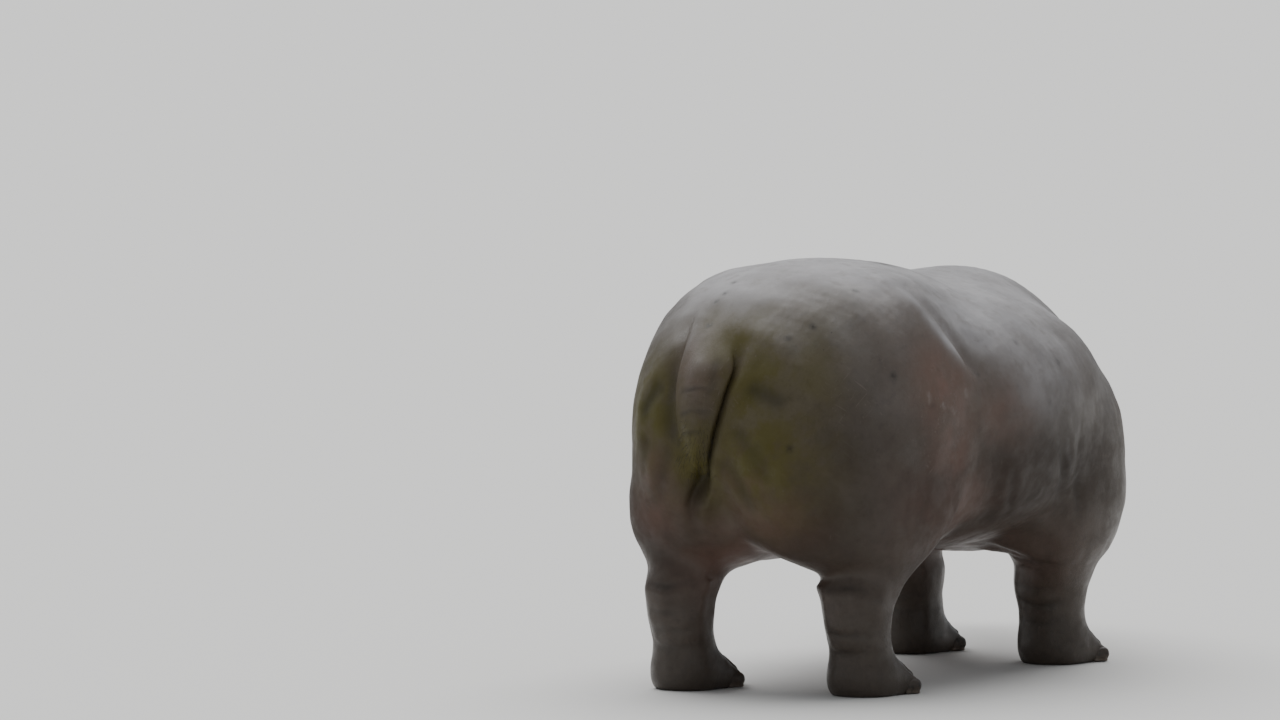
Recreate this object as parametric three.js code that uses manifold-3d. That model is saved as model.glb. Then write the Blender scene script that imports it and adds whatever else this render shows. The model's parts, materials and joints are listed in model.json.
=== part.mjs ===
// A life-size hippopotamus that stands with its head lowered and turned to its left.
// Millimetres: +X from tail to shoulders, +Y to the animal's left, +Z up.
// The whole animal is one smooth form, a blend of named masses. Each part starts as a capsule
// round its bone, every point of which is moved out to that form, and is then cut to its limits.
import * as THREE from "three";
import { mergeVertices } from "three/addons/utils/BufferGeometryUtils.js";
import Module from "manifold-3d";

const wasm = await Module();
wasm.setup();

// Driving dimensions
const croupHeight = 1400;
const withersHeight = 1340;
const bellyHeight = 400;
const trunkHalfWidth = 625;
const hipX = -700;
const shoulderX = 470;
const hindStance = 300; // sideways from the middle to each hind foot
const foreStance = 300;
const stride = { hindLeft: -60, hindRight: 50, foreLeft: 60, foreRight: -30 };
const kneeHeight = 360; // where the upper and lower leg are parted
const ankleHeight = 150;
const headPlace = { at: [1100, 215, 800], yaw: 38, pitch: 20 };
const partGap = 0.3;

const vec = (x, y, z) => new THREE.Vector3(x, y, z);
const degrees = THREE.MathUtils.degToRad;
const bothSides = (make) => [make(1), make(-1)];

// ---- Forms: functions of a point, negative inside and positive outside ----

// An ellipsoid of flesh, squarer where square is above 2.
function mass(at, radii, { square = 2, blend = 90 } = {}) {
  const q = vec(0, 0, 0);
  const distance = (p) => {
    q.set(p.x - at[0], p.y - at[1], p.z - at[2]);
    const k =
      (Math.abs(q.x / radii[0]) ** square +
        Math.abs(q.y / radii[1]) ** square +
        Math.abs(q.z / radii[2]) ** square) **
      (1 / square);
    return k < 1e-6 ? -Math.min(...radii) : q.length() * (1 - 1 / k);
  };
  return { blend, distance };
}

// A tapered length of limb from one joint to the next, wide being its width over its depth.
function limb(from, to, radiusFrom, radiusTo, { wide = 1, blend = 60 } = {}) {
  const start = vec(...from);
  const bone = vec(...to).sub(start);
  const lengthSquared = bone.lengthSq();
  const q = vec(0, 0, 0);
  const distance = (p) => {
    q.subVectors(p, start);
    const t = THREE.MathUtils.clamp(q.dot(bone) / lengthSquared, 0, 1);
    q.addScaledVector(bone, -t);
    q.y /= wide;
    return q.length() - radiusFrom - (radiusTo - radiusFrom) * t;
  };
  return { blend, distance };
}

function smoothUnion(a, b, blend) {
  const overlap = Math.max(blend - Math.abs(a - b), 0) / blend;
  return Math.min(a, b) - (overlap * overlap * blend) / 4;
}

const blendOf = (masses) => (p) => masses.reduce((d, m) => smoothUnion(d, m.distance(p), m.blend), 1e6);

// ---- The animal's masses ----

const barrel = mass([-60, 0, 880], [860, trunkHalfWidth, 435], { square: 2.2 });
const belly = mass([-60, 0, 700], [640, 550, 670 - bellyHeight], { square: 2.1, blend: 120 });
const loin = mass([-250, 0, 1000], [430, 330, 340], { blend: 120 });
const croup = mass([hipX + 150, 0, 915], [630, 475, croupHeight - 915], { square: 2.4 });
const haunches = bothSides((s) =>
  mass([hipX + 80, s * 240, 875], [460, 285, 475], { square: 2.15, blend: 60 }),
);
const buttocks = bothSides((s) => mass([hipX - 170, s * 190, 790], [290, 240, 380], { blend: 110 }));
const chest = mass([shoulderX, 0, 770], [480, 430, 400], { square: 2.2, blend: 110 });
const withers = mass([shoulderX - 100, 0, withersHeight - 350], [570, 270, 350], { blend: 110 });
const shoulders = bothSides((s) =>
  mass([shoulderX, s * 370, 640], [270, 190, 340], { square: 2.2, blend: 110 }),
);
const brisket = mass([shoulderX + 300, 0, 720], [260, 330, 290], { blend: 140 });
const trunkMasses = [
  barrel, belly, loin, croup, ...haunches, ...buttocks, chest, withers, ...shoulders, brisket,
];

const nape = limb([650, 20, 840], [1060, 170, 775], 345, 222, { blend: 120 });
const throat = limb([800, 40, 640], [1080, 190, 680], 230, 180, { blend: 110 });
const neckMasses = [nape, throat];

function hindLeg(s, step) {
  const y = s * hindStance;
  const hip = [hipX, s * 290, 800];
  const stifle = [hipX + 60 + step * 0.5, s * 345, 620];
  const hock = [hipX - 170 + step, y, 300];
  const pastern = [hipX - 130 + step, y, 120];
  const upper = [
    limb(hip, stifle, 250, 185, { blend: 70 }),
    mass([hipX - 90 + step * 0.5, s * 322, 600], [240, 192, 225], { blend: 60 }),
  ];
  const lower = [
    limb(stifle, hock, 155, 106, { blend: 50 }),
    mass(hock, [104, 94, 104], { blend: 50 }),
    limb(hock, pastern, 98, 102, { blend: 50 }),
  ];
  const joints = [hip, stifle, hock, pastern];
  return { joints, upper, lower, footX: hipX - 90 + step, footY: y };
}

function foreLeg(s, step) {
  const y = s * foreStance;
  const shoulder = [shoulderX, s * 320, 780];
  const elbow = [shoulderX + 30, s * 320, 600];
  const wrist = [shoulderX + 70 + step, y, 280];
  const pastern = [shoulderX + 85 + step, y, 120];
  const upper = [limb(shoulder, elbow, 230, 160, { blend: 70 })];
  const lower = [
    limb(elbow, wrist, 160, 112, { blend: 50 }),
    mass(wrist, [112, 106, 104], { blend: 50 }),
    limb(wrist, pastern, 106, 108, { blend: 50 }),
  ];
  const joints = [shoulder, elbow, wrist, pastern];
  return { joints, upper, lower, footX: shoulderX + 115 + step, footY: y };
}

// A broad pad with four short toes spread round its front, seen as angles from straight ahead.
const toes = [
  { angle: -54, reach: 126 },
  { angle: -18, reach: 158 },
  { angle: 18, reach: 158 },
  { angle: 54, reach: 126 },
];
const toeHeight = 34;

function toePoint(leg, toe, past, z) {
  const r = toe.reach + past;
  return [leg.footX + r * Math.cos(degrees(toe.angle)), leg.footY + r * Math.sin(degrees(toe.angle)), z];
}

function footMasses(leg) {
  const pad = mass([leg.footX - 8, leg.footY, 45], [136, 122, 85], { square: 2.5, blend: 60 });
  const ankle = [leg.footX, leg.footY, 80];
  return [pad, ...toes.map((toe) => limb(ankle, toePoint(leg, toe, 0, toeHeight), 62, 42, { blend: 26 }))];
}

const legs = [
  { name: "hind_left", s: 1, hind: true, ...hindLeg(1, stride.hindLeft) },
  { name: "hind_right", s: -1, hind: true, ...hindLeg(-1, stride.hindRight) },
  { name: "fore_left", s: 1, hind: false, ...foreLeg(1, stride.foreLeft) },
  { name: "fore_right", s: -1, hind: false, ...foreLeg(-1, stride.foreRight) },
];

// Head masses are in the head's own frame: origin at the nape joint, +X along the muzzle.
const headMasses = [
  mass([130, 0, 20], [230, 188, 165], { square: 2.4 }), // skull
  ...bothSides((s) => mass([120, s * 140, -85], [185, 100, 165], { blend: 80 })), // cheeks
  mass([150, 0, 120], [150, 150, 75], { square: 2.4, blend: 50 }), // brow
  limb([230, 0, 5], [560, 0, -5], 142, 126, { wide: 1.08, blend: 70 }), // bridge of the nose
  mass([605, 0, -8], [150, 214, 122], { square: 3, blend: 80 }), // muzzle
  ...bothSides((s) => mass([590, s * 152, -66], [130, 78, 82], { blend: 50 })), // upper lips
  limb([140, 0, -150], [540, 0, -135], 108, 88, { wide: 1.6, blend: 70 }), // jaw
  mass([590, 0, -155], [128, 172, 82], { square: 2.5, blend: 46 }), // chin
  ...bothSides((s) => mass([236, s * 118, 152], [70, 50, 66], { blend: 40 })), // eye sockets
  ...bothSides((s) => mass([660, s * 82, 98], [64, 46, 52], { blend: 42 })), // nostrils
];

const headTurn = new THREE.Euler(0, degrees(headPlace.pitch), degrees(headPlace.yaw), "ZYX");
const headMatrix = new THREE.Matrix4().makeRotationFromEuler(headTurn).setPosition(...headPlace.at);
const headInverse = headMatrix.clone().invert();
const headPoint = (x, y, z) => vec(x, y, z).applyMatrix4(headMatrix).toArray();
const headDirection = (x, y, z) => vec(x, y, z).transformDirection(headMatrix).toArray();

// The trunk is moved out to a form without the lower legs, which would drag its points down.
const upperMasses = [...trunkMasses, ...neckMasses, ...legs.flatMap((leg) => leg.upper)];
const lowerMasses = legs.flatMap((leg) => [...leg.lower, ...footMasses(leg)]);
const trunkForm = blendOf(upperMasses);
const bodyForm = blendOf([...upperMasses, ...lowerMasses]);
const headForm = blendOf(headMasses);
const neckBlend = 90;
const form = (p) => smoothUnion(bodyForm(p), headForm(p.clone().applyMatrix4(headInverse)), neckBlend);

// ---- Solids ----

// How far along a ray the form ends, up to reach.
function castOut(surface, from, direction, reach) {
  const step = 12;
  const halvings = 12;
  const p = vec(0, 0, 0);
  const outside = (r) => surface(p.copy(from).addScaledVector(direction, r)) > 0;
  let far = step;
  while (far < reach && !outside(far)) far += step;
  if (far >= reach) return reach;
  let near = far - step;
  for (let i = 0; i < halvings; i++) {
    const middle = (near + far) / 2;
    if (outside(middle)) far = middle;
    else near = middle;
  }
  return far;
}

// A capsule round a bone, with each point moved out to the surface and then grown.
function wrap(surface, from, to, { around, along, cap, reach, grow = 0 }) {
  const start = vec(...from);
  const end = vec(...to);
  const length = start.distanceTo(end);
  const middle = start.clone().add(end).multiplyScalar(0.5);
  const turn = new THREE.Quaternion().setFromUnitVectors(vec(0, 1, 0), end.clone().sub(start).normalize());
  const geometry = new THREE.CapsuleGeometry(1, length, cap, around, along);
  const points = geometry.attributes.position;
  const direction = vec(0, 0, 0);
  const anchor = vec(0, 0, 0);
  for (let i = 0; i < points.count; i++) {
    direction.fromBufferAttribute(points, i);
    anchor.set(0, THREE.MathUtils.clamp(direction.y, -length / 2, length / 2), 0);
    direction.sub(anchor).normalize().applyQuaternion(turn);
    anchor.applyQuaternion(turn).add(middle);
    anchor.addScaledVector(direction, castOut(surface, anchor, direction, reach) + grow);
    points.setXYZ(i, anchor.x, anchor.y, anchor.z);
  }
  return toSolid(geometry);
}

// manifold-3d joins and cuts; three.js makes every shape.
function toSolid(geometry) {
  const bare = geometry.clone();
  bare.deleteAttribute("normal");
  bare.deleteAttribute("uv");
  const merged = mergeVertices(bare, 0.01);
  const index = merged.index.array;
  const triVerts = [];
  for (let i = 0; i < index.length; i += 3) {
    const [a, b, c] = index.slice(i, i + 3);
    if (a !== b && b !== c && c !== a) triVerts.push(a, b, c);
  }
  return new wasm.Manifold(
    new wasm.Mesh({
      numProp: 3,
      vertProperties: merged.attributes.position.array,
      triVerts: new Uint32Array(triVerts),
    }),
  );
}

function toGeometry(solid) {
  const { numProp, numVert, vertProperties, triVerts } = solid.getMesh();
  const positions = new Float32Array(numVert * 3);
  for (let i = 0; i < numVert; i++) {
    positions.set(vertProperties.subarray(i * numProp, i * numProp + 3), i * 3);
  }
  const geometry = new THREE.BufferGeometry();
  geometry.setAttribute("position", new THREE.BufferAttribute(positions, 3));
  geometry.setIndex(new THREE.BufferAttribute(triVerts, 1));
  geometry.computeVertexNormals();
  return geometry;
}

// A block that fills one side of a plane, and takes half the part gap from its other side.
function beyond(point, normal) {
  const size = 4000;
  const n = vec(...normal).normalize();
  const block = new THREE.BoxGeometry(size, size, size);
  block.translate(0, (size - partGap) / 2, 0);
  block.applyQuaternion(new THREE.Quaternion().setFromUnitVectors(vec(0, 1, 0), n));
  block.translate(...point);
  return toSolid(block);
}

const above = (z) => beyond([0, 0, z], [0, 0, 1]);
const below = (z) => beyond([0, 0, z], [0, 0, -1]);

// A block over a side outline, points in X and Z, from inner to outer sideways.
function zone(outline, inner, outer, grow = 0) {
  const shape = new THREE.Shape(outline.map(([x, z]) => new THREE.Vector2(x, z)));
  const block = new THREE.ExtrudeGeometry(shape, {
    depth: outer - inner,
    bevelEnabled: grow > 0,
    bevelSize: grow,
    bevelThickness: grow,
    bevelSegments: 1,
  });
  block.rotateX(Math.PI / 2);
  block.translate(0, outer, 0);
  return toSolid(block);
}

function ball(radii, matrix, { around = 12, along = 8, at = [0, 0, 0] } = {}) {
  const shape = new THREE.SphereGeometry(1, around, along);
  shape.scale(...radii);
  shape.translate(...at);
  return toSolid(shape.applyMatrix4(matrix));
}

// ---- Parts ----

const colours = { skin: 0x6f625e, tail: 0x8a7069, nail: 0x3b332e, eye: 0x2a1a10 };
const hippopotamus = new THREE.Group();

function addPart(name, solid, colour, roughness = 0.6) {
  const material = new THREE.MeshStandardMaterial({ color: colour, roughness, metalness: 0 });
  const mesh = new THREE.Mesh(toGeometry(solid), material);
  mesh.name = name;
  hippopotamus.add(mesh);
}

// Side outlines of the blocks that part the legs from the trunk.
const farOut = 900;
const hindZone = [
  [-1350, 620], [-620, 740], [-400, 520], [-400, -100], [-1350, -100],
];
const foreZone = [
  [300, 560], [620, 620], [700, 560], [700, -100], [300, -100],
];
const brisketHalfWidth = 140;

// The planes that part the neck from the trunk and from the head.
const neckCut = { at: [840, 60, 800], normal: [0.95, 0.31, 0] };
const headCut = { at: headPoint(20, 0, 0), normal: headDirection(1, 0, 0) };
const inFrontOf = ({ at, normal }) => beyond(at, normal);
const behind = ({ at, normal }) => beyond(at, normal.map((n) => -n));

// The tail hangs flat on the rump, a little to the left. Proud is how far its middle is off the rump.
const tailLine = [
  { z: 1175, y: 55, radius: 22, proud: -8 },
  { z: 1100, y: 32, radius: 40, proud: 4 },
  { z: 1030, y: 26, radius: 47, proud: 10 },
  { z: 900, y: 42, radius: 39, proud: 12 },
  { z: 765, y: 60, radius: 17, proud: 14 },
];
const tailPoints = tailLine.map(({ z, y, proud }) => {
  const rump = castOut(trunkForm, vec(hipX, y, z), vec(-1, 0, 0), 700);
  return [hipX - rump - proud, y, z];
});
const tailForm = blendOf(
  tailLine.slice(1).map(({ radius }, i) =>
    limb(tailPoints[i], tailPoints[i + 1], tailLine[i].radius, radius, { wide: 1.7, blend: 30 }),
  ),
);
const tail = (grow) =>
  wrap(tailForm, tailPoints.at(0), tailPoints.at(-1), { around: 14, along: 9, cap: 3, reach: 200, grow });
addPart("tail", tail(0), colours.tail);

const trunk = wrap(trunkForm, [-700, 0, 880], [700, 10, 830], { around: 34, along: 11, cap: 5, reach: 900 })
  .subtract(zone(hindZone, -farOut, farOut, partGap))
  .subtract(zone(foreZone, brisketHalfWidth, farOut, partGap))
  .subtract(zone(foreZone, -farOut, -brisketHalfWidth, partGap))
  .subtract(below(kneeHeight))
  .subtract(inFrontOf(neckCut))
  .subtract(tail(partGap));
addPart("trunk", trunk, colours.skin);

// Four legs, each an upper leg, a lower leg, a foot with a flat sole, and four nails.
const nailSize = [17, 27, 25];
const nailPastToe = 30;
for (const leg of legs) {
  const [top, knee, ankle, pastern] = leg.joints;
  const shin = knee.map((value, i) => (value + ankle[i]) / 2);
  const inner = leg.hind ? partGap / 2 : brisketHalfWidth;
  const sideBlock = leg.s > 0 ? [inner, farOut] : [-farOut, -inner];
  const upper = wrap(form, top, shin, { around: 20, along: 3, cap: 5, reach: 520 })
    .intersect(zone(leg.hind ? hindZone : foreZone, ...sideBlock))
    .subtract(below(kneeHeight));
  addPart(`${leg.hind ? "thigh" : "upper_arm"}_${leg.name}`, upper, colours.skin);

  const legEnd = [pastern[0], pastern[1], 90];
  const lower = wrap(form, knee, legEnd, { around: 18, along: 6, cap: 2, reach: 260 })
    .subtract(above(kneeHeight))
    .subtract(below(ankleHeight));
  addPart(`${leg.hind ? "shank" : "forearm"}_${leg.name}`, lower, colours.skin);

  const heel = [leg.footX - 30, leg.footY, 60];
  const ballOfFoot = [leg.footX + 50, leg.footY, 60];
  let foot = wrap(form, heel, ballOfFoot, { around: 14, along: 2, cap: 3, reach: 220 })
    .subtract(above(ankleHeight))
    .subtract(below(0));
  toes.forEach((toe, i) => {
    const place = new THREE.Matrix4().makeRotationZ(degrees(toe.angle));
    place.setPosition(...toePoint(leg, toe, nailPastToe, nailSize[2] + 3));
    const nail = (grow) => ball(nailSize.map((r) => r + grow), place, { around: 7, along: 4 });
    foot = foot.subtract(nail(partGap));
    addPart(`nail_${i + 1}_${leg.name}`, nail(0), colours.nail, 0.4);
  });
  addPart(`foot_${leg.name}`, foot, colours.skin);
}

const neck = wrap(form, [760, 40, 800], [1090, 200, 780], { around: 28, along: 4, cap: 3, reach: 520 })
  .subtract(behind(neckCut))
  .subtract(inFrontOf(headCut));
addPart("neck", neck, colours.skin);

// The mouth line, in the head's frame, as the top of a block that holds the jaw.
const jawZone = [
  [820, -84], [735, -86], [620, -128], [450, -100], [320, -66], [225, -22], [205, -60],
  [120, -360], [820, -360],
];
const jawBlock = (grow) => zone(jawZone, -400, 400, grow).transform(headMatrix.elements);

// An ear is a leaf with a hollow in its front. Tilt is outwards from upright, turn is out from ahead.
const earPlace = { at: [66, 150, 196], tilt: 26, turn: 38 };
const earSize = [22, 40, 64];
const earHollow = { at: [20, 0, 10], size: [24, 31, 50] };
function ear(s, grow) {
  const turn = new THREE.Euler(degrees(-s * earPlace.tilt), 0, degrees(s * earPlace.turn), "ZYX");
  const place = new THREE.Matrix4().makeRotationFromEuler(turn);
  place.setPosition(earPlace.at[0], s * earPlace.at[1], earPlace.at[2]).premultiply(headMatrix);
  const leaf = ball(earSize.map((r) => r + grow), place, { around: 12, along: 7 });
  const hollow = ball(earHollow.size, place, { around: 10, along: 7, at: earHollow.at });
  return grow ? leaf : leaf.subtract(hollow);
}

const eyePlace = { at: [246, 148, 168], radius: 24 };
function eye(s, grow) {
  const radius = eyePlace.radius + grow;
  const [x, y, z] = eyePlace.at;
  return ball([radius, radius, radius], headMatrix, { at: [x, s * y, z] });
}

const headAxis = [headPoint(40, 0, 0), headPoint(600, 0, -20)];
let head = wrap(form, ...headAxis, { around: 32, along: 13, cap: 4, reach: 420 })
  .subtract(behind(headCut))
  .subtract(jawBlock(partGap));
for (const [side, s] of Object.entries({ left: 1, right: -1 })) {
  head = head.subtract(ear(s, partGap)).subtract(eye(s, partGap));
  addPart(`ear_${side}`, ear(s, 0), colours.skin);
  addPart(`eye_${side}`, eye(s, 0), colours.eye, 0.15);
}
addPart("head", head, colours.skin);

const jawAxis = [headPoint(200, 0, -140), headPoint(610, 0, -140)];
const jaw = wrap(form, ...jawAxis, { around: 20, along: 7, cap: 4, reach: 300 })
  .subtract(behind(headCut))
  .intersect(jawBlock(0));
addPart("lower_jaw", jaw, colours.skin);

// The origin is on the floor, under the middle of the whole animal.
const modelBox = new THREE.Box3().setFromObject(hippopotamus);
const centre = modelBox.getCenter(vec(0, 0, 0));
hippopotamus.position.set(-centre.x, -centre.y, -modelBox.min.z);

export default hippopotamus;
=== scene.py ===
# A life-size hippopotamus: one hide over all the flesh solids, then eyes, nails and bristles.
import json
import math
import bmesh
import bpy
import numpy as np
from mathutils import Euler, Matrix, Vector
from mathutils.bvhtree import BVHTree


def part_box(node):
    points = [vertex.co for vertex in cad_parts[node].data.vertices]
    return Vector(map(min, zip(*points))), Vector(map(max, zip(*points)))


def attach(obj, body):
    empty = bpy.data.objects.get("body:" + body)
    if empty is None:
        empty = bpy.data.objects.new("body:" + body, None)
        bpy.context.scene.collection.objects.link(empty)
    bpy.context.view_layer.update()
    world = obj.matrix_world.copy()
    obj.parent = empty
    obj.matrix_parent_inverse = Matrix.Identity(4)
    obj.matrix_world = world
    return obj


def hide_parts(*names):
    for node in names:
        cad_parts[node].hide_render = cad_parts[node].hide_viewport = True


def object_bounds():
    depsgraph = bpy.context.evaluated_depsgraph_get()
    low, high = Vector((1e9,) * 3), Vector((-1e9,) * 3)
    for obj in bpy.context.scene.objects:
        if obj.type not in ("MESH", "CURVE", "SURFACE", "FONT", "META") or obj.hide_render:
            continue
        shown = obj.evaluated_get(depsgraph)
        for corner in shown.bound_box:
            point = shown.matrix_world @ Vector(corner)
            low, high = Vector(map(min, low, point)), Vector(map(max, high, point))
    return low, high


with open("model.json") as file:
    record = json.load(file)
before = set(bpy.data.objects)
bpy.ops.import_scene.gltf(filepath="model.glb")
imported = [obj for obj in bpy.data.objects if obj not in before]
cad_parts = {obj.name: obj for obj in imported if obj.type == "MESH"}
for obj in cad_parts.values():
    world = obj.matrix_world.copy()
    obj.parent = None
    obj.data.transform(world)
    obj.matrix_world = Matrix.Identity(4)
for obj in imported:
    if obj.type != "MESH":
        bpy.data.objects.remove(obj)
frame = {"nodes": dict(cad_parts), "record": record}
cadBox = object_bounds()
cadNodes = frame["nodes"]
slotOf = {entry["node"]: entry["material_slot"] for entry in frame["record"]["subparts"]}
fleshNames = [name for name in sorted(cadNodes) if slotOf[name] == "hide"]
firmNames = [name for name in sorted(cadNodes) if slotOf[name] in ("eye", "nail")]
sides = {"left": 1, "right": -1}
feet = ("hind_left", "hind_right", "fore_left", "fore_right")


def report(text):
    print("hippopotamus:", text, flush=True)


def nodeCentre(name):
    low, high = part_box(name)
    return (low + high) / 2


# The head's own frame: origin at the nape, X along the muzzle, Y to its left, Z up out of the brow.
headPlan = {
    "pitch": math.radians(20),  # nose down
    "eyeAt": (0.246, 0.148, 0.168),
}


def findHeadFrame():
    left, right = nodeCentre("eye_left"), nodeCentre("eye_right")
    across = (left - right).normalized()
    yaw = math.atan2(-across.x, across.y)
    turn = Euler((0, headPlan["pitch"], yaw), "XYZ").to_matrix()
    x, _, z = headPlan["eyeAt"]
    origin = (left + right) / 2 - turn @ Vector((x, 0, z))
    return Matrix.Translation(origin) @ turn.to_4x4()


headFrame = findHeadFrame()
bodyFrame = Matrix.Identity(4)


# A smooth uneven value, mostly within 1 of 0, at each point, with features of the given size
def uneven(points, size, seed=0, waves=7):
    draw = np.random.default_rng(seed)
    total = np.zeros(len(points))
    for _ in range(waves):
        way = draw.normal(size=3)
        way *= 2 * math.pi / size * draw.uniform(0.6, 1.5) / np.linalg.norm(way)
        total += np.sin(points @ way + draw.uniform(0, 2 * math.pi))
    return total / 3


# Mesh tools
def newObject(name, data):
    made = bpy.data.objects.new(name, data)
    bpy.context.scene.collection.objects.link(made)
    return made


def newMesh(name, verts, faces):
    mesh = bpy.data.meshes.new(name)
    mesh.from_pydata(verts, [], faces)
    mesh.update()
    return newObject(name, mesh)


# Quads between rows of points. A closed row joins its own ends, and wrapped rows join the last to the first.
def quadsBetween(rows, count, closed=True, wrapped=False, first=0):
    faces = []
    for r in range(rows if wrapped else rows - 1):
        here, after = first + r * count, first + (r + 1) % rows * count
        for i in range(count if closed else count - 1):
            j = (i + 1) % count
            faces.append((here + i, here + j, after + j, after + i))
    return faces


def readAll(items, key, width=3, kind=float):
    flat = np.empty(len(items) * width, kind)
    items.foreach_get(key, flat)
    return flat.reshape(-1, width)


def positions(mesh):
    return readAll(mesh.vertices, "co")


def normals(mesh):
    return readAll(mesh.vertex_normals, "vector")


def edgeEnds(mesh):
    return readAll(mesh.edges, "vertices", 2, np.int32)


def faceCentres(mesh):
    return readAll(mesh.polygons, "center")


def setPositions(mesh, points):
    mesh.vertices.foreach_set("co", np.ascontiguousarray(points, np.float64).ravel())
    mesh.update()


def setAttribute(mesh, name, values):
    layer = mesh.attributes.get(name) or mesh.attributes.new(name, "FLOAT", "POINT")
    layer.data.foreach_set("value", np.ascontiguousarray(values, np.float32))


def getAttribute(mesh, name):
    if name not in mesh.attributes:
        return np.zeros(len(mesh.vertices))
    return readAll(mesh.attributes[name].data, "value", 1, np.float32)[:, 0].astype(float)


def smoothstep(low, high, value):
    t = np.clip((value - low) / (high - low), 0, 1)
    return t * t * (3 - 2 * t)


def inFrame(place, points):
    inverse = np.array(place.inverted())
    return points @ inverse[:3, :3].T + inverse[:3, 3]


# In the head's frame, with its right side folded over onto its left
def foldedHead(points):
    local = inFrame(headFrame, points)
    local[:, 1] = np.abs(local[:, 1])
    return local


def treeOf(mesh):
    return BVHTree.FromPolygons(positions(mesh).tolist(), [tuple(face.vertices) for face in mesh.polygons])


def applyModifiers(obj):
    graph = bpy.context.evaluated_depsgraph_get()
    mesh = bpy.data.meshes.new_from_object(obj.evaluated_get(graph))
    obj.modifiers.clear()
    old = obj.data
    obj.data = mesh
    bpy.data.meshes.remove(old)


# Each point moves towards the mean of its neighbours. Strength is how far, from 0 to 1.
def relax(points, edges, strength, rounds):
    a, b = edges.T
    count = len(points)
    valence = np.bincount(edges.ravel(), minlength=count)[:, None]
    moved = points.copy()
    for _ in range(rounds):
        mean = np.empty_like(moved)
        for axis in range(points.shape[1]):
            column = moved[:, axis].copy()
            mean[:, axis] = np.bincount(a, column[b], count) + np.bincount(b, column[a], count)
        moved += strength[:, None] * (mean / valence - moved)
    return moved


def relaxMesh(mesh, strength, rounds):
    setPositions(mesh, relax(positions(mesh), edgeEnds(mesh), strength, rounds))


# The second pass gives back the size that the first takes off round forms.
def relaxKept(points, edges, strength, rounds):
    first = relax(points, edges, strength, rounds)
    return first + relax(points - first, edges, strength, rounds)


# The hide: all the flesh solids fused, with their facets evened out.
hidePlan = {
    "grow": 0.0006,  # closes the thin cuts between the solids
    "sinkTail": 0.03,  # the tail gets its own shape later, so its solid only fills the rump under it
    "voxel": 0.010,
    # how widely facets are evened out: on the trunk, then where X, Z or the way along the head runs from, to
    "even": 0.042,
    "evenSteps": [("x", 0.45, 0.75, 0.036), ("z", 0.52, 0.36, 0.022), ("ahead", -0.10, 0.06, 0.018),
                  ("ahead", 0.48, 0.62, 0.028), ("z", 0.22, 0.14, 0.011)],
    "evenStrength": 0.8,
    # where the hide is finer: ahead of this in the head, below this, and inside this box
    "headFrom": 0.0,
    "footBelow": 0.19,
    "rump": ((-1.6, -0.38, 0.55), (-1.15, 0.32, 1.32)),
}


def fuseFlesh():
    verts, faces = [], []
    for name in fleshNames + firmNames:
        if name.startswith("ear"):
            continue
        piece = bmesh.new()
        piece.from_mesh(cadNodes[name].data)
        bmesh.ops.remove_doubles(piece, verts=piece.verts, dist=1e-5)
        piece.normal_update()
        piece.verts.index_update()
        first = len(verts)
        for vert in piece.verts:
            vert.co += vert.normal * hidePlan["grow"]
            if name == "tail":
                vert.co.x += hidePlan["sinkTail"]
            verts.append(tuple(vert.co))
        faces += [[first + vert.index for vert in face.verts] for face in piece.faces]
        piece.free()
    hide = newMesh("hide", verts, faces)
    remesh = hide.modifiers.new("fuse", "REMESH")
    remesh.mode = "VOXEL"
    remesh.voxel_size = hidePlan["voxel"]
    applyModifiers(hide)
    return hide


def evenOut(mesh):
    points = positions(mesh)
    value = {"x": points[:, 0], "z": points[:, 2], "ahead": inFrame(headFrame, points)[:, 0]}
    spread = np.full(len(points), hidePlan["even"])
    for key, start, end, size in hidePlan["evenSteps"]:
        spread += (size - spread) * smoothstep(start, end, value[key])
    strongest = hidePlan["evenStrength"]
    rounds = math.ceil(spread.max() ** 2 / (strongest * hidePlan["voxel"] ** 2 / 2))
    strength = strongest * (spread / spread.max()) ** 2
    setPositions(mesh, relaxKept(points, edgeEnds(mesh), strength, rounds))


hide = fuseFlesh()
report(f"fused hide has {len(hide.data.polygons)} faces")
evenOut(hide.data)


# For rows of place, reach and strength in millimetres: the strength, and how many reaches off each
# point is, squared. A place counts on both sides unless it is on the middle line.
def nearness(points, rows, mirrored=True):
    for (x, y, z), reach, strength in rows:
        for s in (1, -1) if y and mirrored else (1,):
            away = (points - np.array((x, s * y, z)) / 1000) / (np.array(reach) / 1000)
            yield strength, (away * away).sum(1)


# Soft pushes on the hide. Each has a place, a reach and a height along the hide's own normal.
def clay(mesh, place, pushes, mirrored=True):
    points = positions(mesh)
    lift = np.zeros(len(points))
    for height, away in nearness(inFrame(place, points), pushes, mirrored):
        lift += height / 1000 * np.exp(-away)
    setPositions(mesh, points + normals(mesh) * lift[:, None])


def curveThrough(points, count):
    given = np.array(points, float)
    ends = np.vstack([2 * given[0] - given[1], given, 2 * given[-1] - given[-2]])
    made = []
    for at in np.linspace(0, len(given) - 1, count):
        i = min(int(at), len(given) - 2)
        t = at - i
        p0, p1, p2, p3 = ends[i:i + 4]
        bend = 2 * p0 - 5 * p1 + 4 * p2 - p3
        twist = 3 * p1 - p0 - 3 * p2 + p3
        made.append((2 * p1 + (p2 - p0) * t + bend * t ** 2 + twist * t ** 3) / 2)
    return np.array(made)


outside = 3  # metres, further out than the hide anywhere


# A line drawn on the hide, in millimetres. One seen from the side or back has two coordinates for
# each point, and one that bends round the form is laid on what is near, with three. It is made on
# both sides unless told otherwise.
def line(look, width, height, points, on=(1, -1), **options):
    options.update(width=width / 1000, height=height / 1000)
    return look, np.array(points) / 1000, on, options


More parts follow.
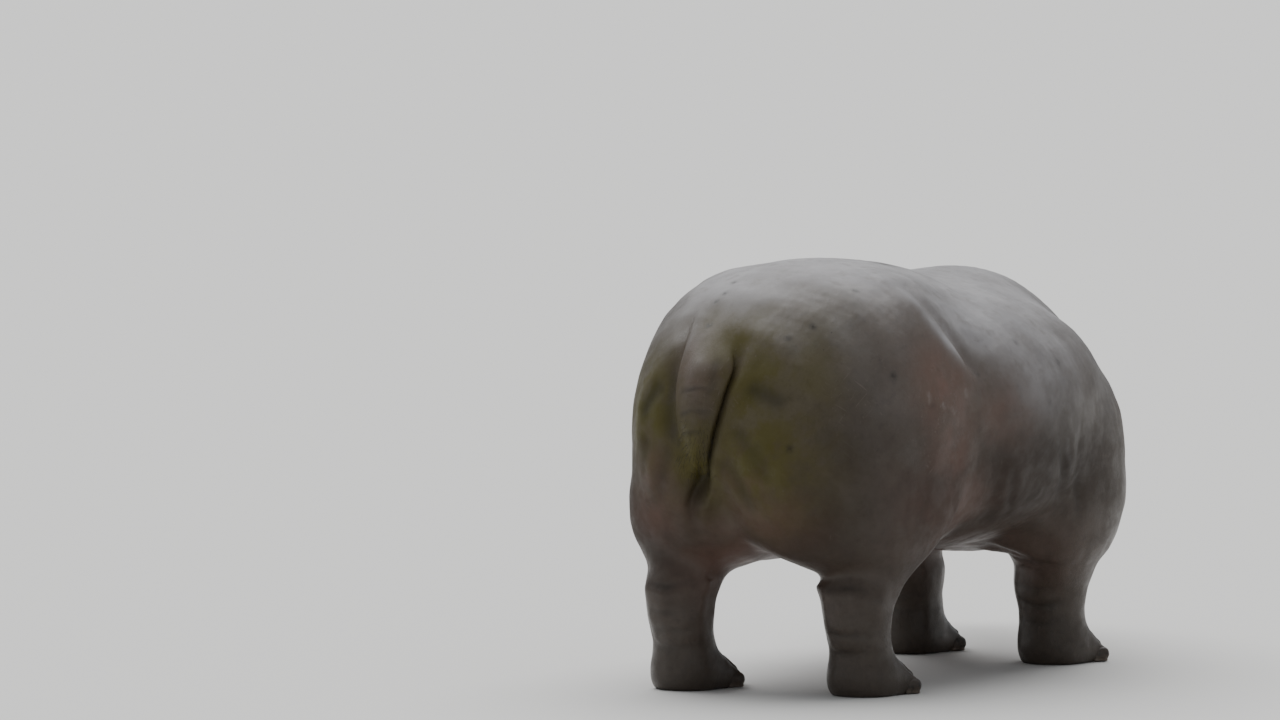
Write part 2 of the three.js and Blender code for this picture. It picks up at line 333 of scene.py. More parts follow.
# Lays a drawn line on the hide: its points there, and the hide's normals
def layLine(tree, place, look, points, s, count=48):
    found, ups = [], []
    for given in curveThrough(points, count):
        if look == "near":
            hit, normal, _, _ = tree.find_nearest(place @ Vector((given[0], s * given[1], given[2])))
        else:
            a, b = given
            start, way = (-outside, s * a, b), (1, 0, 0)
            if look == "side":
                start, way = (a, s * outside, b), (0, -s, 0)
            hit, normal, _, _ = tree.ray_cast(place @ Vector(start), place.to_3x3() @ Vector(way))
        if hit is not None:
            found.append(hit)
            ups.append(normal)
    return np.array(found), np.array(ups)


# The height across a line at a number of widths from its middle
profiles = {
    "ridge": lambda u: np.exp(-u * u),
    "groove": lambda u: 0.35 * np.exp(-1.2 * (np.abs(u) - 1.7) ** 2) - np.exp(-u * u),
    "fold": lambda u: 0.7 * np.exp(-((u + 1.5) / 1.2) ** 2) - np.exp(-((u - 0.2) / 0.8) ** 2),
}


pressPlan = {
    "reach": 4,  # in widths, how far from its middle a line is felt
    "strengthSize": 14,  # and the size of the uneven patches that vary its strength and its course
    "courseSize": 9,
}


# Presses a laid line into the hide, or raises it. Returns how deep in its groove each point is.
def press(points, up, line, lineUp, width, height, kind="groove", fade=0.25, tint=0.6, waver=0.3):
    reach = pressPlan["reach"] * width
    inside = ((points > line.min(0) - reach) & (points < line.max(0) + reach)).all(1)
    near = np.flatnonzero(inside)
    here = points[near]
    best = np.full(len(near), reach)
    offset = np.zeros(len(near))
    along = np.zeros(len(near))
    for i in range(len(line) - 1):
        step = line[i + 1] - line[i]
        length = np.linalg.norm(step)
        if length < 1e-6:
            continue
        away = here - line[i]
        t = np.clip(away @ step / length ** 2, 0, 1)
        away -= t[:, None] * step
        distance = np.linalg.norm(away, axis=1)
        closer = distance < best
        best[closer] = distance[closer]
        side = np.sign(away[closer] @ np.cross(step, lineUp[i]))
        offset[closer] = distance[closer] * side
        along[closer] = (i + t[closer]) / (len(line) - 1)
    touched = best < reach
    near, u, along = near[touched], offset[touched] / width, along[touched]
    strength = smoothstep(0, fade, along) * smoothstep(1, 1 - fade, along)
    strength *= 1 + waver * uneven(points[near], pressPlan["strengthSize"] * width, 1)
    u += waver * uneven(points[near], pressPlan["courseSize"] * width, 2)
    points[near] += up[near] * (height * strength * profiles[kind](u))[:, None]
    depth = np.zeros(len(points))
    depth[near] = tint * strength * np.exp(-u * u)
    return depth


def drawLines(mesh, place, lines):
    tree = treeOf(mesh)
    points = positions(mesh)
    up = normals(mesh)
    grooves = np.zeros(len(points))
    for look, given, on, options in lines:
        for s in on:
            laid, laidUp = layLine(tree, place, look, given, s)
            if len(laid) < 3:
                report(f"a line seen from the {look} misses the hide: {given[0]}")
                continue
            depth = press(points, up, laid, laidUp * s, **options)
            # the depth along grooves and folds, not ridges, is kept; engrave paints it as shade in the
            # creases
            if options.get("kind") != "ridge":
                grooves = np.maximum(grooves, depth)
    setPositions(mesh, points)
    return grooves


# Presses lines into the hide and keeps their depth in the groove attribute, which darkens the hide's colour
# as painted shade in the creases.
def engrave(mesh, place, lines):
    drawn = drawLines(mesh, place, lines)
    setAttribute(mesh, "groove", np.maximum(getAttribute(mesh, "groove"), drawn))


# Where the hide is made finer, level by level, and smoothed again.
facePlan = {
    "eye": headPlan["eyeAt"],
    "nostril": (0.672, 0.084, 0.135),
    "ear": (0.066, 0.150, 0.140),
    # millimetres, from the middle of the lips to the left corner of the mouth
    "mouth": [
        (752, 0, -100), (738, 90, -108), (700, 165, -130), (640, 205, -150), (570, 205, -145),
        (505, 175, -100), (440, 155, -70), (360, 170, -66), (285, 195, -46), (245, 205, -10),
    ],
    "lipReach": 0.028,
    "spotReach": 0.075,
    "closeReach": 0.048,
    "strength": 0.5,  # of the smoothing
    "rounds": 4,
}


def nearSpots(points, spots, reach):
    local = foldedHead(points)
    best = np.full(len(local), 1e9)
    for spot in spots:
        best = np.minimum(best, ((local - spot) ** 2).sum(1))
    return best < reach * reach


def isFine(points):
    ahead = inFrame(headFrame, points)[:, 0] > hidePlan["headFrom"]
    low, high = hidePlan["rump"]
    return ahead | (points[:, 2] < hidePlan["footBelow"]) | ((points > low) & (points < high)).all(1)


def isFiner(points):
    lips = curveThrough(np.array(facePlan["mouth"]) / 1000, 40)
    spots = [facePlan[name] for name in ("eye", "nostril", "ear")]
    return nearSpots(points, spots, facePlan["spotReach"]) | nearSpots(points, lips, facePlan["lipReach"])


def isFinest(points):
    return nearSpots(points, [facePlan["eye"], facePlan["nostril"]], facePlan["closeReach"])


def refineWhere(mesh, isChosen):
    work = bmesh.new()
    work.from_mesh(mesh)
    work.faces.ensure_lookup_table()
    chosen = np.flatnonzero(isChosen(faceCentres(mesh)))
    edges = {edge for index in chosen for edge in work.faces[index].edges}
    bmesh.ops.subdivide_edges(work, edges=list(edges), cuts=1, use_grid_fill=True)
    work.to_mesh(mesh)
    work.free()
    points = positions(mesh)
    strength = facePlan["strength"] * isChosen(points).astype(float)
    setPositions(mesh, relaxKept(points, edgeEnds(mesh), strength, facePlan["rounds"]))


for isChosen in (isFine, isFiner, isFinest):
    refineWhere(hide.data, isChosen)
report(f"finer head and feet make it {len(hide.data.polygons)} faces")

# Head forms, in the head's frame
headClay = [
    ((655, 150, -30), (80, 70, 85), 12),  # whisker pads
    ((760, 0, 10), (40, 30, 90), -10),  # parting between them
    ((680, 0, 140), (90, 35, 40), -12),  # dip between the nostrils
    ((672, 84, 140), (45, 36, 40), 10),  # nostril mounds
    ((560, 190, -165), (60, 50, 40), 12),  # sheath of the lower tusk
    ((455, 150, 20), (60, 50, 100), -10),  # waist behind the muzzle
    ((330, 120, 110), (60, 50, 45), -14),  # hollow before the eye
    ((190, 170, 110), (60, 50, 40), -10),  # temple
    ((235, 125, 215), (55, 45, 40), 10),  # brow over the eye
    ((200, 0, 205), (110, 55, 50), -12),  # dip between the brows
    ((150, 230, -90), (110, 60, 100), 12),  # cheek
]

# A line along the middle of the lips, from the right corner of the mouth round to the left one.
lipLine = [(x, -y, z) for x, y, z in reversed(facePlan["mouth"][1:])] + facePlan["mouth"]
headLines = [
    line("near", 8.5, 8, lipLine, kind="fold", on=(1,), fade=0.05),
    line("near", 5, 8, lipLine, on=(1,), fade=0.05, waver=0.1),
    # corner of the mouth
    line("near", 10, 9, [(262, 205, 4), (236, 210, -20), (222, 215, -60), (222, 220, -105)]),
    line("near", 12, 6, [(300, 195, -100), (262, 210, -130), (240, 210, -170)]),
    # nostrils
    line("near", 17, 7, [(712, 52, 112), (700, 70, 130), (682, 90, 142), (655, 103, 140),
         (634, 104, 130)], kind="ridge"),
    line("near", 5.5, 20, [(706, 58, 120), (694, 74, 135), (676, 90, 142), (652, 100, 138)], fade=0.3),
    # muzzle
    line("near", 16, 4.5, [(600, 60, 135), (606, 110, 120), (600, 160, 85), (575, 195, 40)]),
    line("near", 13, 6, [(492, 60, 130), (498, 110, 105), (492, 150, 55), (478, 160, 0),
         (474, 155, -50)]),
    line("near", 11, 5, [(448, 70, 125), (452, 115, 95), (446, 145, 45), (436, 150, -10)]),
    line("near", 10, 4, [(405, 100, 110), (408, 140, 60), (398, 155, 10), (392, 160, -35)]),
    line("near", 16, 6, [(600, 200, -190), (540, 190, -200), (470, 150, -180), (400, 140, -160)]),
    line("near", 13, 5, [(728, 0, -170), (715, 80, -180), (670, 150, -195)]),
]
browLines = [
    # round the eye: brow, upper lid, bags below
    line("near", 6.5, 5.5, [(318, 140, 120), (305, 140, 185), (262, 140, 222), (215, 145, 216),
         (180, 155, 180)]),
    line("near", 7, 5.5, [(310, 150, 148), (292, 155, 122), (255, 172, 112), (215, 175, 122),
         (188, 170, 150)]),
    line("near", 10, 5, [(322, 145, 110), (290, 160, 88), (245, 180, 85), (200, 185, 98)]),
    line("near", 8, 4.5, [(190, 160, 162), (155, 172, 150), (120, 180, 120)]),
    # between the brows
    line("near", 12, 4.5, [(300, 70, 165), (262, 66, 190), (220, 70, 200), (180, 85, 196)]),
    line("near", 13, 3.5, [(325, 0, 148), (322, 50, 148), (330, 95, 130)]),
]

# The lids: round the eye's middle the hide takes a new height, ball-close inside the opening and
# a lid's thickness above the ball outside it, and runs back into the brow further out.
lidPlan = {
    "outward": (0.30, 0.90, 0.30),
    "forward": (0.95, -0.30, -0.12),
    "ball": 0.0235,
    "halfWide": 0.90,  # radians from the pupil to each corner
    "upper": 0.46,
    "lower": 0.40,
    "point": 1.55,  # below 2 draws the corners out
    "inside": -0.005,
    "lid": 0.0042,
    "edge": 0.0022,
    "crease": (0.0085, 0.0030, 0.0022),  # how far out, how wide, how deep
    "join": (0.0090, 0.0260),
    "tint": (0.016, 0.002),
    "reach": (0.07, -0.004),  # from the eye's middle, and along its look
}


def eyeAxes():
    outward = np.array(lidPlan["outward"]) / np.linalg.norm(lidPlan["outward"])
    forward = np.array(lidPlan["forward"])
    forward = forward - outward * (forward @ outward)
    forward /= np.linalg.norm(forward)
    return outward, forward, np.cross(forward, outward)


def shapeLids(mesh):
    plan = lidPlan
    points = positions(mesh)
    local = inFrame(headFrame, points)
    outward, forward, upward = eyeAxes()
    turn = np.array(headFrame)[:3, :3]
    tint = np.zeros(len(points))
    for s in sides.values():
        away = local * (1, s, 1) - facePlan["eye"]
        distance = np.linalg.norm(away, axis=1)
        near = np.flatnonzero((distance < plan["reach"][0]) & (away @ outward > plan["reach"][1]))
        away, distance = away[near], distance[near]
        unit = away / distance[:, None]
        across = np.arctan2(unit @ forward, unit @ outward)
        rise = np.arcsin(np.clip(unit @ upward, -1, 1))
        tall = np.where(rise > 0, plan["upper"], plan["lower"])
        power = plan["point"]
        f = (np.abs(across / plan["halfWide"]) ** power + np.abs(rise / tall) ** power) ** (1 / power)
        out = (f - 1) * tall * plan["ball"]
        lift = plan["inside"] + (plan["lid"] - plan["inside"]) * smoothstep(-plan["edge"], plan["edge"], out)
        at, wide, deep = plan["crease"]
        lift -= deep * np.exp(-((out - at) / wide) ** 2)
        blend = smoothstep(*plan["join"], out)
        height = (plan["ball"] + lift) * (1 - blend) + distance * blend
        made = unit * height[:, None] + facePlan["eye"]
        points[near] = (made * (1, s, 1)) @ turn.T + np.array(headFrame)[:3, 3]
        tint[near] = np.maximum(tint[near], smoothstep(*plan["tint"], out))
    setPositions(mesh, points)
    setAttribute(mesh, "lid", tint)


clay(hide.data, headFrame, headClay)
engrave(hide.data, headFrame, headLines)
engrave(hide.data, headFrame, browLines)
shapeLids(hide.data)
report("head modelled")

# Rump, flanks and shoulders, in the body's frame
tailPlan = {
    # height, sideways, half width and how proud of the rump, in millimetres
    "rows": [
        (1330, 50, 30, -12), (1270, 45, 50, -4), (1200, 25, 74, 6), (1135, -4, 94, 19),
        (1070, -12, 107, 30), (1000, 0, 99, 35), (935, 5, 85, 36), (860, 10, 62, 32), (800, 15, 42, 26),
        (750, 22, 26, 16), (722, 26, 12, 4),
    ],
    "sunk": 0.024,
    "around": 48,
    "along": 90,
    # where it runs into the rump: behind this X, near the middle, between these heights, then its root
    # and its left side, and how much of that its right side gets
    "behind": (-1.05, -1.20),
    "middle": (0.19, 0.15),
    "above": (0.68, 0.74),
    "root": (1.08, 1.17),
    "left": (0.02, 0.08),
    "right": 0.06,
    "soften": (0.7, 40),  # strength and rounds
    "edges": 0.6,  # how much its section follows the rump under its edges, not under its middle
    "curve": (1.3, 0.8),  # of its left and right side
}
bodyClay = [
    ((-640, 640, 1000), (70, 200, 190), -12),  # hollow before the haunch
    ((-860, 600, 1020), (180, 200, 220), 12),  # haunch
    ((-560, 600, 700), (150, 200, 160), -7),  # flank
    ((-300, 690, 900), (220, 200, 140), 10),  # belly's bulge
    ((-1380, 230, 900), (150, 100, 240), 14),  # buttocks
    ((-1400, 10, 640), (150, 60, 140), -24),  # cleft between them
    ((150, 560, 1080), (160, 250, 220), 7),  # shoulder blade
    ((-60, 600, 1000), (80, 250, 220), -6),  # and the hollow behind it
]
bodyLines = [
    # right side of the tail and down between the buttocks
    line("back", 27, 26, [(-118, 1190), (-128, 1130), (-120, 1060), (-98, 995), (-78, 930), (-50, 860),
         (-20, 790), (10, 720), (44, 660), (68, 605), (64, 530), (40, 450)],
         kind="fold", on=(1,), fade=0.32, tint=0.5, waver=0.15),
    line("back", 26, 12, [(100, 1130), (122, 1050), (122, 970), (108, 900), (86, 830), (66, 760)],
         on=(1,), fade=0.4, tint=0.6),
    # folds beside the tail
    line("back", 30, 5, [(-170, 1030), (-215, 1006), (-270, 990), (-330, 960)], on=(1,), tint=0.5),
    line("back", 30, 5, [(-130, 900), (-175, 850), (-215, 780), (-235, 700)], on=(1,), tint=0.3),
    line("back", 30, 5, [(-80, 800), (-120, 740), (-150, 660), (-160, 580)], on=(1,), tint=0.3),
    line("back", 30, 5, [(140, 1020), (175, 990), (215, 945), (245, 880)], on=(1,), tint=0.5),
    line("back", 30, 5, [(105, 840), (140, 780), (170, 700), (185, 610)], on=(1,), tint=0.3),
    line("back", 30, 5, [(200, 860), (235, 790), (255, 700)], tint=0.3),
    # haunch edge, and the fold from it to the knee
    line("side", 50, 17, [(-800, 1375), (-845, 1325), (-845, 1268), (-815, 1196), (-760, 1132),
         (-724, 1080), (-691, 1023), (-655, 930)], kind="fold", fade=0.3, tint=0.15),
    line("side", 44, 7, [(-450, 500), (-500, 560), (-560, 650), (-610, 760), (-640, 860)],
         kind="fold", tint=0.1),
    line("side", 24, 5, [(-400, 520), (-440, 580), (-490, 660), (-530, 740)], tint=0.3),
    # behind the elbow
    line("side", 27, 11, [(-20, 490), (-66, 584), (-136, 650), (-194, 721), (-243, 775), (-286, 837),
         (-310, 900)], kind="fold", fade=0.45, tint=0.25),
    line("side", 22, 5, [(70, 470), (40, 550), (0, 630), (-60, 710)], tint=0.3),
    # shoulder and throat
    line("side", 30, 8, [(430, 560), (440, 660), (430, 780), (400, 900)], tint=0.3),
    line("side", 30, 10, [(560, 560), (600, 660), (620, 790), (600, 930), (550, 1060)], tint=0.35),
    line("side", 26, 9, [(680, 570), (730, 680), (750, 800), (740, 930), (700, 1050)], tint=0.35),
    line("side", 22, 7, [(780, 640), (825, 740), (835, 850), (820, 960)], tint=0.35),
]

# Feet: four toes each, with creases over the pasterns and up the legs
footPlan = {
    "nailReach": 0.188,
    "reach": (0.185, 0.030),  # of a toe from the foot's middle, and how much less the outer toes reach
    "toeAngles": (-54, -18, 18, 54),
    "cleftAngles": (-36, 0, 36),
    "cleft": [(1.00, 0.008), (0.97, 0.040), (0.86, 0.075), (0.70, 0.105), (0.56, 0.130)],  # reach, height
    "toe": ((30, 30, 40), 5),  # reach and height of each toe's swelling, in millimetres
    "toeBack": 0.01,  # how far behind the toe's tip that is, and how high
    "toeUp": 0.048,
    # height, middle and half spread of each crease in degrees, width, depth; the others in millimetres
    "creases": [
        (146, 180, 80, 12, 5), (158, 0, 85, 13, 5), (192, 12, 50, 10, 2.2), (205, 186, 60, 13, 3.6),
        (262, 172, 50, 12, 2), (290, 8, 60, 14, 2.2), (352, 178, 55, 14, 2.6),
    ],
    "creaseBend": 0.012,  # a crease's drop at its ends, and half the height it is measured over
    "nearLeg": 0.24,  # what is further to a side of a foot's middle isn't part of its leg
    "heel": (0.09, 0.05),  # the heel is behind this, and below the next
    "heelBelow": (0.20, 0.10),
    "heelEnd": -0.3,
    "sole": 0.004,  # what starts below this stays flat, and the rest is clear of the floor
    "clear": 0.0015,
    "rounds": 60,
}


def footCentre(leg):
    nails = [nodeCentre(f"nail_{i + 1}_{leg}") for i in range(4)]
    inward = footPlan["nailReach"] * math.cos(math.radians(footPlan["toeAngles"][1]))
    return np.array([nails[1].x - inward, sum(nail.y for nail in nails) / 4, 0])


def heading(angle):
    return np.array([math.cos(math.radians(angle)), math.sin(math.radians(angle)), 0])


def toeReach(angle):
    reach, less = footPlan["reach"]
    return reach - less * (angle / footPlan["toeAngles"][-1]) ** 2


def footClay():
    reach, height = footPlan["toe"]
    back, up = footPlan["toeBack"], np.array([0, 0, footPlan["toeUp"]])
    return [(1000 * (footCentre(leg) + (toeReach(angle) - back) * heading(angle) + up), reach, height)
            for leg in feet for angle in footPlan["toeAngles"]]


# A level crease round the front or back of a leg, seen at its own height
def creaseLine(points, centre, z, middle, spread):
    away = points - centre
    bend = footPlan["creaseBend"]
    ring = away[(np.abs(points[:, 2] - z) < bend) & (np.abs(away[:, :2]) < footPlan["nearLeg"]).all(1)]
    low, high = ring.min(0), ring.max(0)
    made = []
    for t in np.linspace(-1, 1, 9):
        way = heading(middle + t * spread)
        x, y = ((low + high) / 2 + way * (high - low) / 2)[:2]
        made.append((centre[0] + x, centre[1] + y, z - bend * t * t * (1 if middle < 90 else -1)))
    return 1000 * np.array(made)


def footLines(mesh):
    points = positions(mesh)
    lines = []
    for leg in feet:
        centre = footCentre(leg)
        for angle in footPlan["cleftAngles"]:
            cleft = [centre + toeReach(angle) * r * heading(angle) + (0, 0, z) for r, z in footPlan["cleft"]]
            lines.append(line("near", 8.5, 13, 1000 * np.array(cleft), on=(1,), fade=0.35))
        for z, middle, spread, width, height in footPlan["creases"]:
            crease = creaseLine(points, centre, z / 1000, middle, spread)
            lines.append(line("near", width, height, crease, on=(1,), fade=0.45, tint=0.35, waver=0.5))
    return lines


# Rounds the heels and sides of the feet, level by level, and keeps the soles flat on the floor.
def settleFeet(mesh, before):
    plan = footPlan
    points = positions(mesh)
    heel = np.zeros(len(points))
    for leg in feet:
        x, y, _ = (points - footCentre(leg)).T
        own = (np.abs(y) < plan["nearLeg"]) & (x > plan["heelEnd"])
        heel = np.maximum(heel, smoothstep(*plan["heel"], x) * own)
    heel *= smoothstep(*plan["heelBelow"], points[:, 2])
    points[:, :2] = relax(points[:, :2], edgeEnds(mesh), heel, plan["rounds"])
    flat = before[:, 2] < plan["sole"]
    lowest = np.where(flat, 0, plan["clear"])
    points[:, 2] = np.maximum(np.where(flat, before[:, 2], points[:, 2]), lowest)
    setPositions(mesh, points)


# Slow unevenness of the whole hide: size, height and seed. It fades out above the floor.
unevenPlan = [(0.34, 0.0020, 3), (0.11, 0.0006, 4), (0.045, 0.0004, 5)]
unevenFrom = (0.02, 0.12)


def roughen(mesh):
    points = positions(mesh)
    lift = sum(height * uneven(points, size, seed) for size, height, seed in unevenPlan)
    lift *= smoothstep(*unevenFrom, points[:, 2])
    setPositions(mesh, points + normals(mesh) * lift[:, None])


clay(hide.data, bodyFrame, bodyClay)
engrave(hide.data, bodyFrame, bodyLines)
before = positions(hide.data)
clay(hide.data, bodyFrame, footClay(), mirrored=False)
engrave(hide.data, bodyFrame, footLines(hide.data))
settleFeet(hide.data, before)
roughen(hide.data)
report("body, legs and feet modelled")

# Ears and tail are shaped on their own, joined to the hide, and run into it at their roots.
earPlan = {
    "at": (0.066, 0.150, 0.194),
    "tilt": math.radians(26),
    "turn": math.radians(48),
    "half": 0.064,
    # height from -1 to 1, half width, depth, hollow
    "rows": [
        (-1.6, 0.034, 0.036, 0), (-1.2, 0.029, 0.03, 0), (-0.9, 0.027, 0.027, 0.15),
        (-0.6, 0.032, 0.028, 0.8), (-0.2, 0.04, 0.03, 1), (0.2, 0.043, 0.028, 1), (0.58, 0.038, 0.024, 1),
        (0.77, 0.0305, 0.019, 0.9), (0.893, 0.0215, 0.0135, 0.8), (0.961, 0.013, 0.0085, 0.7),
        (0.992, 0.006, 0.0045, 0.3), (1, 0.001, 0.001, 0),
    ],
    "wall": 0.0085,
    "rim": 0.0030,  # how far the rim rolls forward
    "rimAt": (0.3, 0.2),  # where it does, and how wide that is, as shares of the way to the front
    "deep": (0.95, 0.8),  # the hollow's depth, and its curve
    "soft": (0.045, 0.028),  # how near its root it runs into the head
    "soften": (0.6, 12),
    "around": 64,
    "along": 64,
}


# A closed skin over rings of points
def lofted(name, rings):
    count = len(rings[0])
    verts = [tuple(p) for ring in rings for p in ring]
    faces = quadsBetween(len(rings), count)
    first, last = len(verts), len(verts) + 1
    verts += [tuple(np.mean(rings[0], axis=0)), tuple(np.mean(rings[-1], axis=0))]
    for i in range(count):
        j = (i + 1) % count
        faces.append((first, j, i))
        faces.append((last, (len(rings) - 1) * count + i, (len(rings) - 1) * count + j))
    return newMesh(name, verts, faces)


def around(count):
    return np.linspace(0, 2 * math.pi, count, endpoint=False)


def earShape(s):
    x, y, z = earPlan["at"]
    place = headFrame @ Matrix.Translation((x, s * y, z))
    place = place @ Matrix.Rotation(s * earPlan["turn"], 4, "Z")
    place = place @ Matrix.Rotation(-s * earPlan["tilt"], 4, "X")
    (at, spread), (inward, curve) = earPlan["rimAt"], earPlan["deep"]
    rings = []
    for height, wide, deep, hollow in curveThrough(earPlan["rows"], earPlan["along"]):
        ring = []
        for angle in around(earPlan["around"]):
            c, y = math.cos(angle), wide * math.sin(angle)
            x = deep * c
            if c > 0:
                rim = earPlan["wall"] * min(1, 3 * c) + earPlan["rim"] * math.exp(-((c - at) / spread) ** 2)
                x = x * (1 - hollow) + hollow * (rim - deep * inward * c ** curve)
            ring.append(place @ Vector((x, y, height * earPlan["half"])))
        rings.append(ring)
    return lofted("ear", rings)


def tailShape(tree):
    forward = Vector((1, 0, 0))
    part = tailPlan["edges"]
    leftCurve, rightCurve = tailPlan["curve"]
    rings = []
    for z, y, wide, proud in curveThrough(np.array(tailPlan["rows"]) / 1000, tailPlan["along"]):
        hit, _, _, _ = tree.ray_cast(Vector((-outside, y, z)), forward)
        ring = []
        for angle in around(tailPlan["around"]):
            c, across = math.cos(angle), math.sin(angle)
            edge, _, _, _ = tree.ray_cast(Vector((-outside, y + wide * across, z)), forward)
            base = edge.x * part + hit.x * (1 - part)
            if c <= 0:
                depth = tailPlan["sunk"] * c
            elif across > 0:  # its left side runs out softly
                depth = proud * math.cos(across * math.pi / 2) ** leftCurve
            else:
                depth = proud * c ** rightCurve
            ring.append((base - depth, y + wide * across, z))
        rings.append(ring)
    return lofted("tail", rings)


def joinTo(obj, other):
    work = obj.modifiers.new("join", "BOOLEAN")
    work.operation = "UNION"
    work.solver = "MANIFOLD"
    work.object = other
    applyModifiers(obj)
    bpy.data.objects.remove(other)


# Runs the tail's root and left side into the rump, and leaves its right edge sharp.
def softenTail(mesh):
    plan = tailPlan
    x, y, z = positions(mesh).T
    near = smoothstep(*plan["behind"], x) * smoothstep(*plan["middle"], np.abs(y))
    near *= smoothstep(*plan["above"], z)
    side = np.maximum(0.5 * smoothstep(*plan["left"], y), plan["right"])
    strength, rounds = plan["soften"]
    relaxMesh(mesh, strength * near * np.maximum(smoothstep(*plan["root"], z), side), rounds)


def softenEars(mesh):
    away = np.linalg.norm(foldedHead(positions(mesh)) - facePlan["ear"], axis=1)
    strength, rounds = earPlan["soften"]
    relaxMesh(mesh, strength * smoothstep(*earPlan["soft"], away), rounds)


# Wrinkles of the tail, and folds at the roots of the ears
tailLines = [
    line("back", 13, 5, [(-70, 1120), (-78, 1075), (-70, 1020), (-40, 965)], on=(1,), tint=0.35),
    line("back", 10, 2.5, [(-85, 1000), (-30, 1012), (30, 1000), (75, 975)], on=(1,), tint=0.35),
    line("back", 9, 2.5, [(-70, 925), (-20, 938), (30, 930), (66, 910)], on=(1,), tint=0.35),
    line("back", 8, 2.2, [(-45, 860), (0, 868), (40, 860), (60, 845)], on=(1,), tint=0.35),
]
earLines = [
    line("near", 7, 5, [(20, 120, 165), (45, 128, 158), (75, 135, 152), (100, 148, 146),
         (112, 168, 138)]),
    line("near", 8, 5, [(0, 150, 140), (20, 172, 125), (55, 182, 112), (90, 184, 108)]),
]

joinTo(hide, tailShape(treeOf(hide.data)))
softenTail(hide.data)
for s in sides.values():
    joinTo(hide, earShape(s))
softenEars(hide.data)
engrave(hide.data, bodyFrame, tailLines)
engrave(hide.data, headFrame, earLines)
report(f"ears and tail joined: {len(hide.data.polygons)} faces")

# Stage
stagePlan = {
    "aim": (-0.6406, 0.6962, 1.0347),
    "azimuth": -59,
    "elevation": 3.5,
    "distance": 30,
    "lens": 253.1,
    "sensor": 36,
    "clip": 2000,
    "floorHalf": 400,
    "floorColour": (0.72, 0.71, 0.69),
    "floorRoughness": 0.8,
    "sky": 0.45,
    "skyColour": (0.82, 0.86, 0.9),
    "sun": 3.6,
    "sunFrom": (0.34, 0.30, 0.89),
    "sunAngle": math.radians(80),
}


# Sets a node's inputs, or links them to what gives their value.
def plug(tree, made, inputs):
    for key, value in inputs.items():
        socket = made.inputs[key]
        if isinstance(value, bpy.types.NodeSocket):
            tree.links.new(value, socket)
        elif socket.type == "RGBA":
            socket.default_value = (*value, 1)
        else:
            socket.default_value = value


def newMaterial(name):
    material = bpy.data.materials.new(name)
    material.use_nodes = True
    return material, material.node_tree, material.node_tree.nodes["Principled BSDF"]


def makeCamera():
    data = bpy.data.cameras.new("camera")
    data.lens = stagePlan["lens"]
    data.sensor_width = stagePlan["sensor"]
    data.clip_end = stagePlan["clip"]
    a, e = math.radians(stagePlan["azimuth"]), math.radians(stagePlan["elevation"])
    back = Vector((math.sin(a) * math.cos(e), -math.cos(a) * math.cos(e), math.sin(e)))
    camera = newObject("camera", data)
    camera.location = Vector(stagePlan["aim"]) + back * stagePlan["distance"]
    camera.rotation_mode = "QUATERNION"
    camera.rotation_quaternion = (-back).to_track_quat("-Z", "Y")
    bpy.context.scene.camera = camera


def makeFloor():
    half = stagePlan["floorHalf"]
    corners = [(-half, -half, 0), (half, -half, 0), (half, half, 0), (-half, half, 0)]
    floor = newMesh("floor", corners, [(0, 1, 2, 3)])
    material, tree, shader = newMaterial("floor")
    plug(tree, shader, {"Base Color": stagePlan["floorColour"], "Roughness": stagePlan["floorRoughness"]})
    floor.data.materials.append(material)


def makeLight():
    world = bpy.data.worlds.new("studio")
    world.use_nodes = True
    background = world.node_tree.nodes["Background"]
    plug(world.node_tree, background, {"Color": stagePlan["skyColour"], "Strength": stagePlan["sky"]})
    bpy.context.scene.world = world
    data = bpy.data.lights.new("softbox", "SUN")
    data.energy = stagePlan["sun"]
    data.angle = stagePlan["sunAngle"]
    sun = newObject("softbox", data)
    sun.rotation_euler = Vector(stagePlan["sunFrom"]).to_track_quat("Z", "Y").to_euler()


# Eyes: one ball each behind the lids, with its cornea raised
eyePlan = {
    "ball": 0.0238,
    "cornea": (0.0022, 0.50),  # how far it bulges, and how wide, in radians
    "iris": 0.0122,
    "pupil": (0.0056, 0.0036),  # half width and half height
    "around": 64,
    "along": 60,
}


def turnOutward(mesh):
    work = bmesh.new()
    work.from_mesh(mesh)
    bmesh.ops.remove_doubles(work, verts=work.verts, dist=1e-6)
    bmesh.ops.recalc_face_normals(work, faces=work.faces)
    work.to_mesh(mesh)
    work.free()
    mesh.shade_smooth()


def makeEye(side, s):
    outward, forward, upward = eyeAxes()
    bulge, wide = eyePlan["cornea"]
    verts = []
    for back in np.linspace(0, math.pi, eyePlan["along"]):
        reach = eyePlan["ball"] + bulge * math.exp(-(back / wide) ** 4)
        for turn in around(eyePlan["around"]):
            across, rise = math.sin(back) * math.cos(turn), math.sin(back) * math.sin(turn)
            point = reach * (outward * math.cos(back) + forward * across + upward * rise) + facePlan["eye"]
            verts.append(headFrame @ Vector((point[0], s * point[1], point[2])))
    eye = newMesh(f"eyeball_{side}", verts, quadsBetween(eyePlan["along"], eyePlan["around"]))
    turnOutward(eye.data)
    away = inFrame(headFrame, positions(eye.data)) * (1, s, 1) - facePlan["eye"]
    outwards = np.where(away @ outward > 0, 1.0, 10.0)  # keeps the iris off the ball's back
    setAttribute(eye.data, "across", (away @ forward) * outwards)
    setAttribute(eye.data, "rise", (away @ upward) * outwards)
    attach(eye, "root")
    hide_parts(f"eye_{side}")
    return eye


